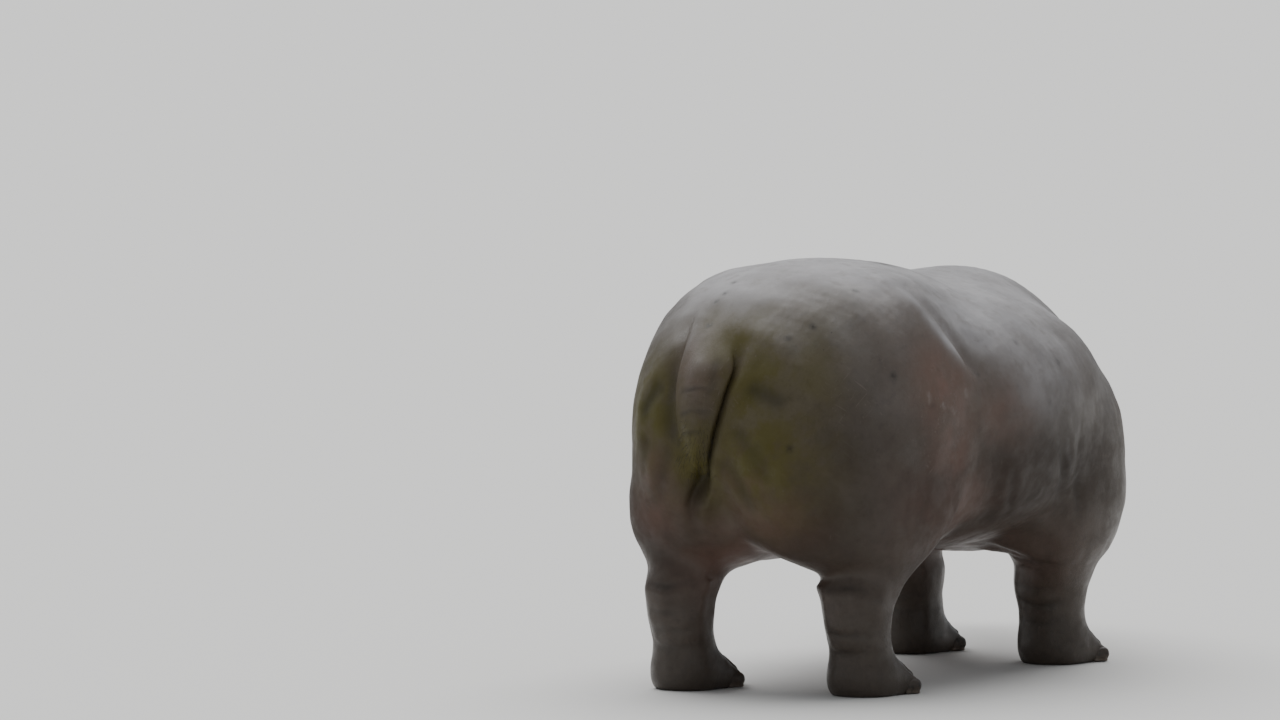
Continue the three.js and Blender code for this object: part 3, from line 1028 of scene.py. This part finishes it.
# Nails: a hoof-like shield laid over the tip of each toe
nailPlan = {
    "spread": 50,  # degrees to each side of the toe's own line
    "bottom": 0.002,
    "top": 0.052,
    "thick": 0.0075,
    "sunk": 0.005,
    "edgeSunk": 0.0012,
    "axis": 0.055,  # how far the toe's own axis is behind its tip
    "narrow": 0.12,  # how much narrower, lower at the sides and thinner it gets towards its top
    "corner": 0.30,
    "thin": 0.25,
    "across": 30,
    "up": 22,
    "from": 0.2,  # how far ahead of the toe it is laid on from, and the lowest height for that
    "lowest": 0.012,
    "soften": (0.5, 2),
}


# Rows of points up the front of a nail, then down its back
def nailShape(tree, centre, toe):
    plan = nailPlan
    axis = centre + (toeReach(toe) - plan["axis"]) * heading(toe)
    climb = np.linspace(0, 1, plan["up"])
    points = []
    for v, front in [(v, True) for v in climb] + [(v, False) for v in climb[::-1]]:
        for u in np.linspace(-1, 1, plan["across"]):
            top = plan["top"] * (1 - plan["corner"] * abs(u) ** 2.5)
            z = plan["bottom"] + (top - plan["bottom"]) * v
            way = heading(toe + u * plan["spread"] * (1 - plan["narrow"] * v))
            start = axis + way * plan["from"] + np.array([0, 0, max(z, plan["lowest"])])
            hit, _, _, _ = tree.ray_cast(Vector(start), Vector(-way))
            reach = np.linalg.norm((np.array(hit) - axis)[:2]) if hit else plan["axis"]
            domed = (1 - abs(u) ** 4) ** 0.5 * (1 - v ** 6) ** 0.5 * (1 - plan["thin"] * v)
            reach += plan["thick"] * domed - plan["edgeSunk"] if front else -plan["sunk"]
            x, y, _ = axis + way * reach
            points.append((x, y, z))
    return points


def makeNails(tree, leg):
    count, across = nailPlan["up"], nailPlan["across"]
    verts, faces = [], []
    for toe in footPlan["toeAngles"]:
        first = len(verts)
        verts += nailShape(tree, footCentre(leg), toe)
        faces += quadsBetween(2 * count, across, closed=False, wrapped=True, first=first)
        for end in (0, across - 1):
            for r in range(count - 1):
                rows = (r, r + 1, 2 * count - 2 - r, 2 * count - 1 - r)
                corners = [first + row * across + end for row in rows]
                faces.append(corners if end else corners[::-1])
    nails = newMesh(f"nails_{leg}", verts, faces)
    strength, rounds = nailPlan["soften"]
    relaxMesh(nails.data, np.full(len(verts), strength), rounds)
    turnOutward(nails.data)
    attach(nails, "root")
    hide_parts(*[f"nail_{i + 1}_{leg}" for i in range(4)])
    return nails


eyeballs = [makeEye(side, s) for side, s in sides.items()]
hideTree = treeOf(hide.data)
nailSets = [makeNails(hideTree, leg) for leg in feet]
report("eyes and nails made")

# Bristles: stiff hairs on the lips and chin, in the ears and down the tail's sides
bristlePlan = {
    "segments": 5,
    "sides": 4,
    # where, how many, length, radius, how much they droop
    "lips": {"count": 260, "length": (0.010, 0.028), "radius": 0.00042, "droop": 3},
    "ears": {"count": 320, "length": (0.006, 0.014), "radius": 0.00024, "droop": 1.2},
    "tail": {"count": 170, "length": (0.020, 0.045), "radius": 0.00045, "droop": 30},
    "stray": 0.25,
    "taper": 0.85,
    "rooted": 0.002,
    "patch": 0.003,  # the size of one bristle on the unwrap
    "unwrap": (0.01, 0.97),  # where the unwrap starts in the square, and how much of it is filled
    "middle": 0.75,  # the height that the unwrap goes round
}
# where they stand: along each axis, where they start and where they are thickest
bristleAreas = {
    "lips": (("x", 0.56, 0.70), ("z", 0.06, -0.02), ("z", -0.24, -0.20)),
    "cheeks": (("x", 0.50, 0.60), ("y", 0.12, 0.18), ("z", 0.0, -0.04)),
    "ears": (("out", 0.085, 0.075), ("z", 0.200, 0.215)),
    "tail": (("x", -1.30, -1.36), ("z", 0.93, 0.80), ("z", 0.70, 0.74), ("out", 0.075, 0.055)),
}


# Where a root lies on a plain unwrap of the hide: along the body, and round it
def unwrapPlace(point):
    low, high = cadBox
    first, size = bristlePlan["unwrap"]
    along = (point[0] - low[0]) / (high[0] - low[0])
    turn = math.atan2(point[1], point[2] - bristlePlan["middle"]) / (2 * math.pi) + 0.5
    return first + size * along, first + size * turn


def bristles(name, weights, lean, seed):
    plan = bristlePlan[name]
    segments, count, patch = (bristlePlan[key] for key in ("segments", "sides", "patch"))
    draw = np.random.default_rng(seed)
    mesh = hide.data
    centres = faceCentres(mesh)
    chance = readAll(mesh.polygons, "area", 1)[:, 0] * weights
    roots = draw.choice(len(chance), size=plan["count"], replace=False, p=chance / chance.sum())
    verts, faces, uvs = [], [], []
    for index in roots:
        root, up = centres[index], np.array(mesh.polygons[index].normal)
        way = up + lean + bristlePlan["stray"] * draw.normal(size=3)
        way /= np.linalg.norm(way)
        step = draw.uniform(*plan["length"]) / segments
        side = np.cross(way, (0.1, 0.2, 1.0))
        side /= np.linalg.norm(side)
        other = np.cross(way, side)
        place = root - up * bristlePlan["rooted"]
        first = len(verts)
        for k in range(segments + 1):
            radius = plan["radius"] * (1 - bristlePlan["taper"] * k / segments)
            for angle in around(count):
                verts.append(tuple(place + radius * (side * math.cos(angle) + other * math.sin(angle))))
            way = way - np.array([0, 0, plan["droop"] * step])
            way /= np.linalg.norm(way)
            place = place + way * step
        faces += quadsBetween(segments + 1, count, first=first)
        u, v = unwrapPlace(root)
        for k in range(segments):
            for i in range(count):
                for corner, rise in ((i, k), (i + 1, k), (i + 1, k + 1), (i, k + 1)):
                    uvs.append((u + patch * corner / count, v + patch * rise / segments))
        for ring in (0, segments):
            corners = [first + ring * count + i for i in range(count)]
            faces.append(corners if ring else corners[::-1])
            uvs += [(u, v)] * count
    hairs = newMesh(f"bristles_{name}", verts, faces)
    hairs.data.uv_layers.new(name="OFBake").data.foreach_set("uv", np.array(uvs).ravel())
    hairs.data.shade_smooth()
    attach(hairs, "root")
    return hairs


def headAxis(x, y, z):
    return np.array(headFrame.to_3x3() @ Vector((x, y, z)))


def thickness(name, points, out):
    value = dict(zip("xyz", points.T), out=out)
    return math.prod(smoothstep(start, full, value[axis]) for axis, start, full in bristleAreas[name])


def makeBristles():
    centres = faceCentres(hide.data)
    local = foldedHead(centres)
    toEar = np.linalg.norm(local - earPlan["at"], axis=1)
    lips = thickness("lips", local, toEar) + 0.5 * thickness("cheeks", local, toEar)
    ears = thickness("ears", local, toEar)
    tail = thickness("tail", centres, np.abs(centres[:, 1] - 0.015))
    return [
        bristles("lips", lips, 0.3 * headAxis(1, 0, 0), 11),
        bristles("ears", ears, 0.8 * headAxis(-0.3, 0, 1), 12),
        bristles("tail", tail, np.array([0.0, 0.0, -0.4]), 13),
    ]


bristleSets = makeBristles()
report(f"bristles made: {sum(len(b.data.polygons) for b in bristleSets)} faces")

# Coloured areas of the hide, worked out at each point of it: place and reach of each spot in
# millimetres, and its strength. Those of the face are in the head's frame.
areaPlan = {
    # olive stain of water plants, beside the tail only
    "stain": [((-1400, -210, 1000), (200, 150, 180), 1.05), ((-1400, -220, 800), (200, 160, 180), 1.2),
        ((-1400, -130, 1160), (200, 120, 90), 1), ((-1420, 220, 930), (200, 150, 170), 1.2),
        ((-1400, 10, 780), (200, 120, 150), 1.1), ((-1300, -340, 950), (140, 90, 240), 0.8),
        ((-1400, 20, 1220), (200, 50, 50), 0.5)],
    # bare pink skin
    "blush": [((-1380, 180, 730), (200, 90, 90), 0.7), ((-1360, -200, 600), (200, 140, 100), 0.6),
        ((-1420, 20, 1060), (160, 80, 100), 0.5), ((-900, 600, 1000), (130, 200, 140), 0.9),
        ((-860, 600, 800), (120, 200, 160), 0.7), ((-600, 660, 900), (120, 200, 100), 0.6),
        ((-820, 560, 600), (220, 200, 140), 0.7), ((-300, 0, 380), (600, 420, 120), 0.9),
        ((550, 0, 420), (300, 300, 140), 0.9), ((-1050, 0, 450), (250, 160, 160), 0.9),
        ((200, 300, 450), (200, 160, 100), 0.8)],
    "rosy": [],
    # darker, browner skin, and painted shade low on the flanks and haunches, behind the elbows and down the
    # cleft beside the tail
    "brownSkinAndShade": [((-1270, 480, 760), (200, 160, 200), 0.8), ((-420, 660, 680), (280, 240, 190), 1.4),
        ((-1420, -60, 740), (140, 60, 240), 0.9), ((-1360, 280, 600), (200, 200, 160), 1.6),
        ((-60, 660, 680), (260, 200, 160), 1.2), ((-900, 600, 640), (260, 160, 170), 1.2),
        ((-660, 620, 720), (100, 200, 140), 0.9)],
    # dirt on the croup and back, on the side where it is
    "mark": [(place, 10, 0.9) for place in (
        (-1218, 29, 1302), (-1254, 42, 1278), (-1146, 35, 1334), (-1332, 21, 1205), (-1191, 299, 1158),
        (-1157, 339, 1136), (-1265, -327, 1206), (-1328, -271, 1169), (-1064, -369, 1314), (-1406, -325, 822),
        (-1120, -541, 1047), (-678, -617, 1036), (-424, -608, 1120), (-223, -656, 1046), (-359, -693, 922),
    )] + [((-669, -125, 1394), (30, 16, 16), 0.9), ((-585, -208, 1378), (50, 22, 20), 1)],
    # drier and paler lower down, and damp higher up: these add to and take from the pale dry layer with its
    # painted sheen
    "bleach": [((-320, 660, 1020), (260, 300, 180), 0.56), ((-600, 520, 1200), (160, 300, 120), 0.5),
        ((100, 600, 1000), (220, 300, 220), 0.3), ((-1300, 340, 1000), (160, 80, 200), 0.12),
        ((-1160, 500, 980), (200, 200, 180), 0.2), ((-780, 540, 1180), (80, 200, 100), 0.34),
        ((-1460, 20, 1000), (100, 70, 100), 0.14)],
    "damp": [((-1170, -280, 1300), (160, 160, 70), 0.34), ((-1340, -40, 1200), (120, 180, 60), 0.2)],
    # thin pale scars, thick in places
    "scar": [((-930, 600, 950), (120, 100, 90), 0.9), ((-980, 560, 760), (70, 100, 50), 0.6),
        ((300, 450, 950), (250, 200, 200), 0.4), ((-300, 600, 1050), (400, 200, 140), 0.4),
        ((-1200, 450, 1050), (160, 160, 160), 0.4), ((700, 300, 950), (200, 250, 160), 0.3)],
    # dark specks, thick in places
    "speckle": [((-1250, 380, 1160), (140, 80, 70), 1), ((-1320, 160, 1270), (100, 120, 50), 0.9),
        ((-620, -300, 1360), (200, 140, 80), 0.8), ((50, 450, 1220), (300, 160, 120), 0.6),
        ((-620, 580, 1020), (100, 100, 100), 0.5)],
}
facePlaces = {
    # the pinkest skin
    "rosy": [((246, 165, 140), (45, 50, 45), 1), ((66, 160, 170), (30, 35, 40), 0.9),
        ((250, 210, -50), (45, 50, 70), 0.9), ((600, 170, -185), (130, 90, 35), 1),
        ((685, 85, 138), (34, 30, 22), 0.8), ((420, 60, -250), (220, 130, 50), 0.9),
        ((120, 230, -10), (30, 50, 80), 0.7), ((30, 200, -160), (80, 80, 60), 0.8)],
    "blush": [((246, 165, 150), (50, 50, 45), 0.9), ((75, 165, 190), (30, 30, 60), 0.8),
        ((300, 200, -70), (80, 80, 40), 0.8), ((560, 190, -150), (140, 90, 40), 0.9),
        ((690, 80, 140), (40, 40, 35), 0.5), ((250, 100, -240), (300, 140, 70), 0.9),
        ((120, 200, 30), (70, 60, 80), 0.6), ((620, 120, -220), (120, 140, 50), 0.8)],
    "speckle": [((640, 140, 20), (120, 120, 110), 0.9), ((420, 160, -20), (140, 80, 80), 0.5)],
}
lopsided = ("stain", "mark", "damp")  # these are not the same on both sides

# Painted highlights along the crests of folds
crestHighlightLines = [
    line("side", 24, 0, [(-900, 1360), (-895, 1320), (-888, 1268), (-862, 1196), (-806, 1132),
         (-768, 1080), (-730, 1023)], fade=0.35, tint=1, waver=0.4),
    line("side", 10, 0, [(-33, 584), (-100, 650), (-159, 721), (-208, 775), (-251, 837)],
         fade=0.35, tint=1, waver=0.4),
    line("back", 16, 0, [(70, 1240), (80, 1140), (92, 1070), (94, 985), (80, 905)],
         on=(1,), fade=0.35, tint=1, waver=0.4),
]
nickLines = [line("side", 5.5, 0, points, on=(-1,), fade=0.2, tint=1) for points in (
    [(-985, 998), (-983, 970), (-986, 945)], [(-932, 956), (-926, 944), (-918, 930)],
    [(-888, 940), (-874, 924), (-862, 908)], [(-800, 990), (-792, 978), (-790, 960)],
)]


# The back is dry and pale, and lighter still where it faces up, as a painted sheen of light from above; the
# rest is wet and dark.
dryPlan = {
    "up": 0.15,  # how level a place has to be
    "power": 1.8,
    "height": (0.65, 1.25),
    "ahead": (0.5, 1.0, 0.35),  # from, to, and how much lower the head and neck get the dry pale layer with its painted sheen
    # strength of the painted highlights along fold crests
    "crestHighlight": 0.22,
    # painted shade: the hide darkens from this height down to the next
    "low": (0.95, 0.35),
    "evened": (0.7, 30),  # strength and rounds, for the slopes
    "soft": 0.7,  # larger is a tighter spot of any colour
}


def areaMask(points, name):
    mask = np.zeros(len(points))
    for place, spots in ((points, areaPlan[name]), (inFrame(headFrame, points), facePlaces.get(name, []))):
        for strength, away in nearness(place, spots, name not in lopsided):
            mask = np.maximum(mask, strength * np.exp(-dryPlan["soft"] * away))
    return mask


def paintAreas(mesh):
    plan = dryPlan
    points = positions(mesh)
    mask = {name: areaMask(points, name) for name in areaPlan}
    strength, rounds = plan["evened"]
    up = relax(normals(mesh), edgeEnds(mesh), np.full(len(points), strength), rounds)[:, 2]
    start, end, lower = plan["ahead"]
    height = points[:, 2] + lower * smoothstep(start, end, points[:, 0])
    level = np.clip((up - plan["up"]) / (1 - plan["up"]), 0, 1)
    # level places high up get the dry pale layer, which is also a painted sheen of light from above
    dryAndSheen = level ** plan["power"] * smoothstep(*plan["height"], height)
    dryAndSheen += mask.pop("bleach") - mask.pop("damp")
    # painted highlights along the crests of folds are added to the pale layer
    mask["dryAndSheen"] = dryAndSheen + plan["crestHighlight"] * drawLines(mesh, bodyFrame, crestHighlightLines)
    mask["nick"] = drawLines(mesh, bodyFrame, nickLines)
    # painted shade, darker towards the bottom
    mask["low"] = smoothstep(*plan["low"], points[:, 2])
    for name, values in mask.items():
        setAttribute(mesh, name, values)


paintAreas(hide.data)


# Materials. Each helper adds a node and returns what comes out of it.
def node(tree, kind, inputs=(), out=0, **settings):
    made = tree.nodes.new("ShaderNode" + kind)
    for key, value in settings.items():
        setattr(made, key, value)
    plug(tree, made, dict(inputs))
    return made.outputs[out]


def attribute(tree, name):
    return node(tree, "Attribute", out="Fac", attribute_name=name)


def mathNode(tree, operation, a, b, clamp=False):
    return node(tree, "Math", {0: a, 1: b}, operation=operation, use_clamp=clamp)


def times(tree, a, b, clamp=False):
    return mathNode(tree, "MULTIPLY", a, b, clamp)


def plus(tree, a, b, clamp=False):
    return mathNode(tree, "ADD", a, b, clamp)


def mixColour(tree, factor, a, b):
    return node(tree, "Mix", {0: factor, 6: a, 7: b}, 2, data_type="RGBA")


def ramp(tree, value, low, high, toLow=0.0, toHigh=1.0):
    ends = {"Value": value, "From Min": low, "From Max": high, "To Min": toLow, "To Max": toHigh}
    return node(tree, "MapRange", ends, interpolation_type="SMOOTHSTEP")


def noise(tree, place, scale, detail, roughness=0.5, out="Fac"):
    given = {"Vector": place, "Scale": scale, "Detail": detail, "Roughness": roughness}
    return node(tree, "TexNoise", given, out)


def bumped(tree, height, strength, distance):
    return node(tree, "Bump", {"Height": height, "Strength": strength, "Distance": distance})


# Uneven patches, used by every material
def patchGroup():
    group = bpy.data.node_groups.new("patches", "ShaderNodeTree")
    for name, value in (("Scale", 5.0), ("Detail", 4.0), ("Low", 0.4), ("High", 0.6)):
        socket = group.interface.new_socket(name, in_out="INPUT", socket_type="NodeSocketFloat")
        socket.default_value = value
    group.interface.new_socket("Mask", in_out="OUTPUT", socket_type="NodeSocketFloat")
    given = group.nodes.new("NodeGroupInput").outputs
    place = node(group, "TexCoord", out="Object")
    uneven = noise(group, place, given["Scale"], given["Detail"], 0.6)
    mask = ramp(group, uneven, given["Low"], given["High"])
    group.links.new(mask, group.nodes.new("NodeGroupOutput").inputs["Mask"])
    return group


patches = patchGroup()


def patch(tree, scale, low, high, detail=4.0):
    given = {"Scale": scale, "Detail": detail, "Low": low, "High": high}
    return node(tree, "Group", given, "Mask", node_tree=patches)


# Patches that go from one value to another
def patchy(tree, scale, low, high, toLow, toHigh, detail=4.0):
    return ramp(tree, patch(tree, scale, low, high, detail), 0, 1, toLow, toHigh)


hideLook = {
    "wet": (0.066, 0.050, 0.037),
    "wetPale": (0.092, 0.072, 0.056),
    # the dry pale top, which also stands for a painted sheen of light from above
    "dryAndSheen": (0.220, 0.211, 0.215),
    "dryPale": (0.295, 0.284, 0.289),
    # deep brown: browner patches of skin, and the painted shade low on the body
    "brownAndShade": (0.030, 0.0205, 0.0145),
    "pink": (0.150, 0.080, 0.060),
    "rose": (0.200, 0.092, 0.070),
    "olive": (0.068, 0.057, 0.008),
    # near black: dark specks and marks, and the painted shade in the creases
    "darkAndShade": (0.006, 0.004, 0.002),
    "scar": (0.160, 0.125, 0.110),
    "roughness": (0.34, 0.52),
    "dryRoughness": 0.58,
    "coat": (0.20, 0.04),  # wet, and where the dry pale layer is
    "coatRoughness": 0.26,
    "specular": 0.32,
    "crease": 0.0010,  # metres
    "creases": ((64.0, 0.40, 0.10), (150.0, 0.38, 0.16), (330.0, 0.22, 0.25)),  # scale, height, width
    "matt": (0.18, 0.2),  # how much stained skin and the browner, painted-shade areas lose of their coat, and gain in roughness
    "chosen": 0.72,  # this share of the specks is left out
    "streak": (0.0075, 0.0075, 0.11),  # size of a scar
}


def hideMaterial():
    look = hideLook
    material, tree, shader = newMaterial("hide")
    place = node(tree, "TexCoord", out="Object")
    names = [*areaPlan, "groove", "lid", "dryAndSheen", "nick", "low"]
    mask = {name: attribute(tree, name) for name in names if name not in ("bleach", "damp")}

    # each layer has how much of it there is, its colour and its strength
    def layered(colour, *layers):
        for amount, other, strength in layers:
            colour = mixColour(tree, times(tree, amount, strength, True), colour, look[other])
        return colour

    # the edge of the dry pale layer, with its painted sheen, is broken up by patches
    dryAndSheen = ramp(tree, times(tree, mask["dryAndSheen"], patchy(tree, 4.5, 0.2, 0.8, 0.72, 1.28, 6.0)), 0.0, 1.05)
    green = times(tree, mask["stain"], patchy(tree, 8.0, 0.34, 0.62, 0.6, 1.0))
    scars = scratchMask(tree, place, mask["scar"])
    wetColour = layered(
        mixColour(tree, patch(tree, 3.2, 0.38, 0.66), look["wet"], look["wetPale"]),
        # painted shade, darker towards the bottom
        (mask["low"], "brownAndShade", 0.45),
        # browner skin, and painted shade low on the body
        (mask["brownSkinAndShade"], "brownAndShade", 0.85),
        (patch(tree, 11.0, 0.48, 0.72), "brownAndShade", 0.4),
        (patch(tree, 44.0, 0.50, 0.72, 6.0), "brownAndShade", 0.3),
        (times(tree, mask["blush"], patchy(tree, 6.0, 0.30, 0.65, 0.5, 1.0)), "pink", 0.85),
    )
    dryAndSheenColour = layered(
        mixColour(tree, patch(tree, 5.5, 0.36, 0.66), look["dryAndSheen"], look["dryPale"]),
        (patch(tree, 16.0, 0.52, 0.74), "wetPale", 0.35),
    )
    # the wet skin, under the dry pale layer with its painted sheen on the tops
    colour = layered(
        mixColour(tree, dryAndSheen, wetColour, dryAndSheenColour),
        (green, "olive", 0.95),
        (scars, "scar", 0.75),
        (times(tree, mask["rosy"], patchy(tree, 13.0, 0.34, 0.62, 0.35, 1.0)), "rose", 0.55),
        # painted shade in the creases of grooves and folds
        (mask["groove"], "darkAndShade", 0.85),
        (mask["lid"], "pink", 0.45),
        (specks(tree, place, 46.0, 0.11, 0.06, mask["speckle"]), "darkAndShade", 0.85),
        (times(tree, mask["mark"], patchy(tree, 70.0, 0.3, 0.6, 0.4, 1.0)), "darkAndShade", 0.9),
        (mask["nick"], "scar", 0.9),
        (specks(tree, place, 15.0, 0.05, 0.03, 0.6), "darkAndShade", 0.6),
    )
    lessCoat, moreRough = look["matt"]
    matt = mathNode(tree, "MINIMUM", plus(tree, mask["brownSkinAndShade"], green), 1.0)
    wetRough = patchy(tree, 14.0, 0.3, 0.7, *look["roughness"])
    given = {"Factor": dryAndSheen, "A": wetRough, "B": look["dryRoughness"]}
    rough = node(tree, "Mix", given, data_type="FLOAT")
    coat = ramp(tree, dryAndSheen, 0, 1, *look["coat"])
    plug(tree, shader, {
        "Base Color": colour,
        "Roughness": plus(tree, rough, times(tree, matt, moreRough), True),
        "Coat Weight": mathNode(tree, "SUBTRACT", coat, times(tree, matt, lessCoat), True),
        "Coat Roughness": look["coatRoughness"],
        "Specular IOR Level": look["specular"],
        "Normal": creaseNormal(tree, place, look["crease"], scars),
    })
    return material


def specks(tree, place, scale, outer, inner, amount):
    colour = node(tree, "TexVoronoi", {"Vector": place, "Scale": scale}, "Color")
    picked = node(tree, "SeparateColor", {"Color": colour})
    chosen = mathNode(tree, "GREATER_THAN", picked, hideLook["chosen"])
    made = ramp(tree, colour.node.outputs["Distance"], outer, inner)
    return times(tree, times(tree, made, chosen), amount)


# Thin streaks in three directions, where there are scars
def scratchMask(tree, place, amount):
    streaks = 0.0
    for angles, seed in (((0.5, 0.7, 0.3), 1.0), ((-0.9, 0.2, 0.9), 4.0), ((0.3, -0.4, 0.1), 7.0)):
        given = {"Vector": place, "Location": (seed,) * 3, "Rotation": angles, "Scale": hideLook["streak"]}
        turned = node(tree, "Mapping", given, vector_type="TEXTURE")
        streaks = mathNode(tree, "MAXIMUM", ramp(tree, noise(tree, turned, 1.0, 1.0), 0.69, 0.76), streaks)
    sparse = mathNode(tree, "MAXIMUM", amount, times(tree, patch(tree, 2.4, 0.52, 0.66), 0.35))
    return times(tree, streaks, sparse, True)


# Fine creases in three sizes, deeper in patches, then pores, slow unevenness and raised scars
def creaseNormal(tree, place, deep, scars):
    warp = noise(tree, place, 18.0, 5.0, 0.65, "Color")
    warp = node(tree, "VectorMath", {0: warp, "Scale": 0.045}, operation="SCALE")
    shifted = node(tree, "VectorMath", {0: place, 1: warp}, operation="ADD")
    flat = node(tree, "Mapping", {"Vector": shifted, "Scale": (1.0, 1.0, 1.5)})
    height = 0.0
    for scale, part, wide in hideLook["creases"]:
        given = {"Vector": flat, "Scale": scale}
        edge = node(tree, "TexVoronoi", given, "Distance", feature="DISTANCE_TO_EDGE")
        worn = patchy(tree, scale / 12, 0.35, 0.65, 0.25, 1.0)
        height = plus(tree, times(tree, ramp(tree, edge, 0.0, wide, 0.0, part), worn), height)
    pores, slow = noise(tree, place, 420.0, 2.0), noise(tree, place, 22.0, 4.0)
    for value, part in ((pores, 0.3), (slow, 1.6), (scars, 0.3)):
        height = plus(tree, times(tree, value, part), height)
    return bumped(tree, height, 0.6, deep)


eyeLook = {
    "white": (0.120, 0.065, 0.048),
    "rim": (0.016, 0.010, 0.008),
    "iris": (0.095, 0.040, 0.014),
    "irisDark": (0.030, 0.012, 0.006),
    "pupil": (0.004, 0.004, 0.004),
}


def eyeMaterial():
    look = eyeLook
    material, tree, shader = newMaterial("eye")
    across, rise = attribute(tree, "across"), attribute(tree, "rise")
    place = node(tree, "CombineXYZ", {"X": across, "Y": rise})
    out = node(tree, "VectorMath", {0: place}, "Value", operation="LENGTH")
    turn = mathNode(tree, "ARCTAN2", rise, across)
    spokes = node(tree, "CombineXYZ", {"X": turn, "Y": times(tree, out, 60.0)})
    fibres = noise(tree, spokes, 7.0, 3.0)
    iris = mixColour(tree, ramp(tree, fibres, 0.35, 0.65), look["irisDark"], look["iris"])
    edge = eyePlan["iris"]
    iris = mixColour(tree, ramp(tree, out, edge * 0.72, edge * 0.98), iris, look["rim"])
    colour = mixColour(tree, patch(tree, 160.0, 0.45, 0.70), look["white"], look["rim"])
    colour = mixColour(tree, ramp(tree, out, edge * 1.03, edge * 0.97), colour, iris)
    wide, tall = eyePlan["pupil"]
    scaled = node(tree, "VectorMath", {0: place, 1: (1 / wide, 1 / tall, 0)}, operation="MULTIPLY")
    pupil = node(tree, "VectorMath", {0: scaled}, "Value", operation="LENGTH")
    plug(tree, shader, {
        "Base Color": mixColour(tree, ramp(tree, pupil, 1.08, 0.92), colour, look["pupil"]),
        "Roughness": patchy(tree, 300.0, 0.3, 0.7, 0.04, 0.10),
        "Coat Weight": 1.0,
        "Coat Roughness": 0.02,
    })
    return material


nailLook = {
    "horn": (0.050, 0.036, 0.027),
    "pale": (0.130, 0.100, 0.075),
    "dirt": (0.018, 0.013, 0.010),
    "ridge": 0.0005,
}


def nailMaterial():
    look = nailLook
    material, tree, shader = newMaterial("nail")
    place = node(tree, "TexCoord", out="Object")
    height = node(tree, "SeparateXYZ", {"Vector": place}, "Z")
    grain = noise(tree, node(tree, "Mapping", {"Vector": place, "Scale": (1, 1, 0.12)}), 260.0, 3.0)
    rings = noise(tree, node(tree, "CombineXYZ", {"Z": height}), 260.0, 2.0)
    colour = mixColour(tree, ramp(tree, height, 0.030, 0.004), look["horn"], look["pale"])
    colour = mixColour(tree, ramp(tree, grain, 0.40, 0.66, 0.0, 0.6), colour, look["horn"])
    plug(tree, shader, {
        "Base Color": mixColour(tree, patch(tree, 60.0, 0.50, 0.70), colour, look["dirt"]),
        "Roughness": patchy(tree, 90.0, 0.3, 0.7, 0.32, 0.55),
        "Normal": bumped(tree, plus(tree, grain, times(tree, rings, 0.8)), 0.7, look["ridge"]),
    })
    return material


bristleLook = {"root": (0.012, 0.009, 0.007), "tip": (0.050, 0.038, 0.028)}


def bristleMaterial():
    material, tree, shader = newMaterial("bristle")
    plug(tree, shader, {
        "Base Color": mixColour(tree, patch(tree, 40.0, 0.35, 0.65), *bristleLook.values()),
        "Roughness": patchy(tree, 90.0, 0.3, 0.7, 0.35, 0.6),
    })
    return material


def finish(pieces, material):
    for piece in pieces:
        piece.data.materials.clear()
        piece.data.materials.append(material)


finish([hide], hideMaterial())
finish(eyeballs, eyeMaterial())
finish(nailSets, nailMaterial())
finish(bristleSets, bristleMaterial())
hide.data.shade_smooth()
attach(hide, "root")
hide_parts(*fleshNames)

makeFloor()
makeLight()
makeCamera()
report("stage set")
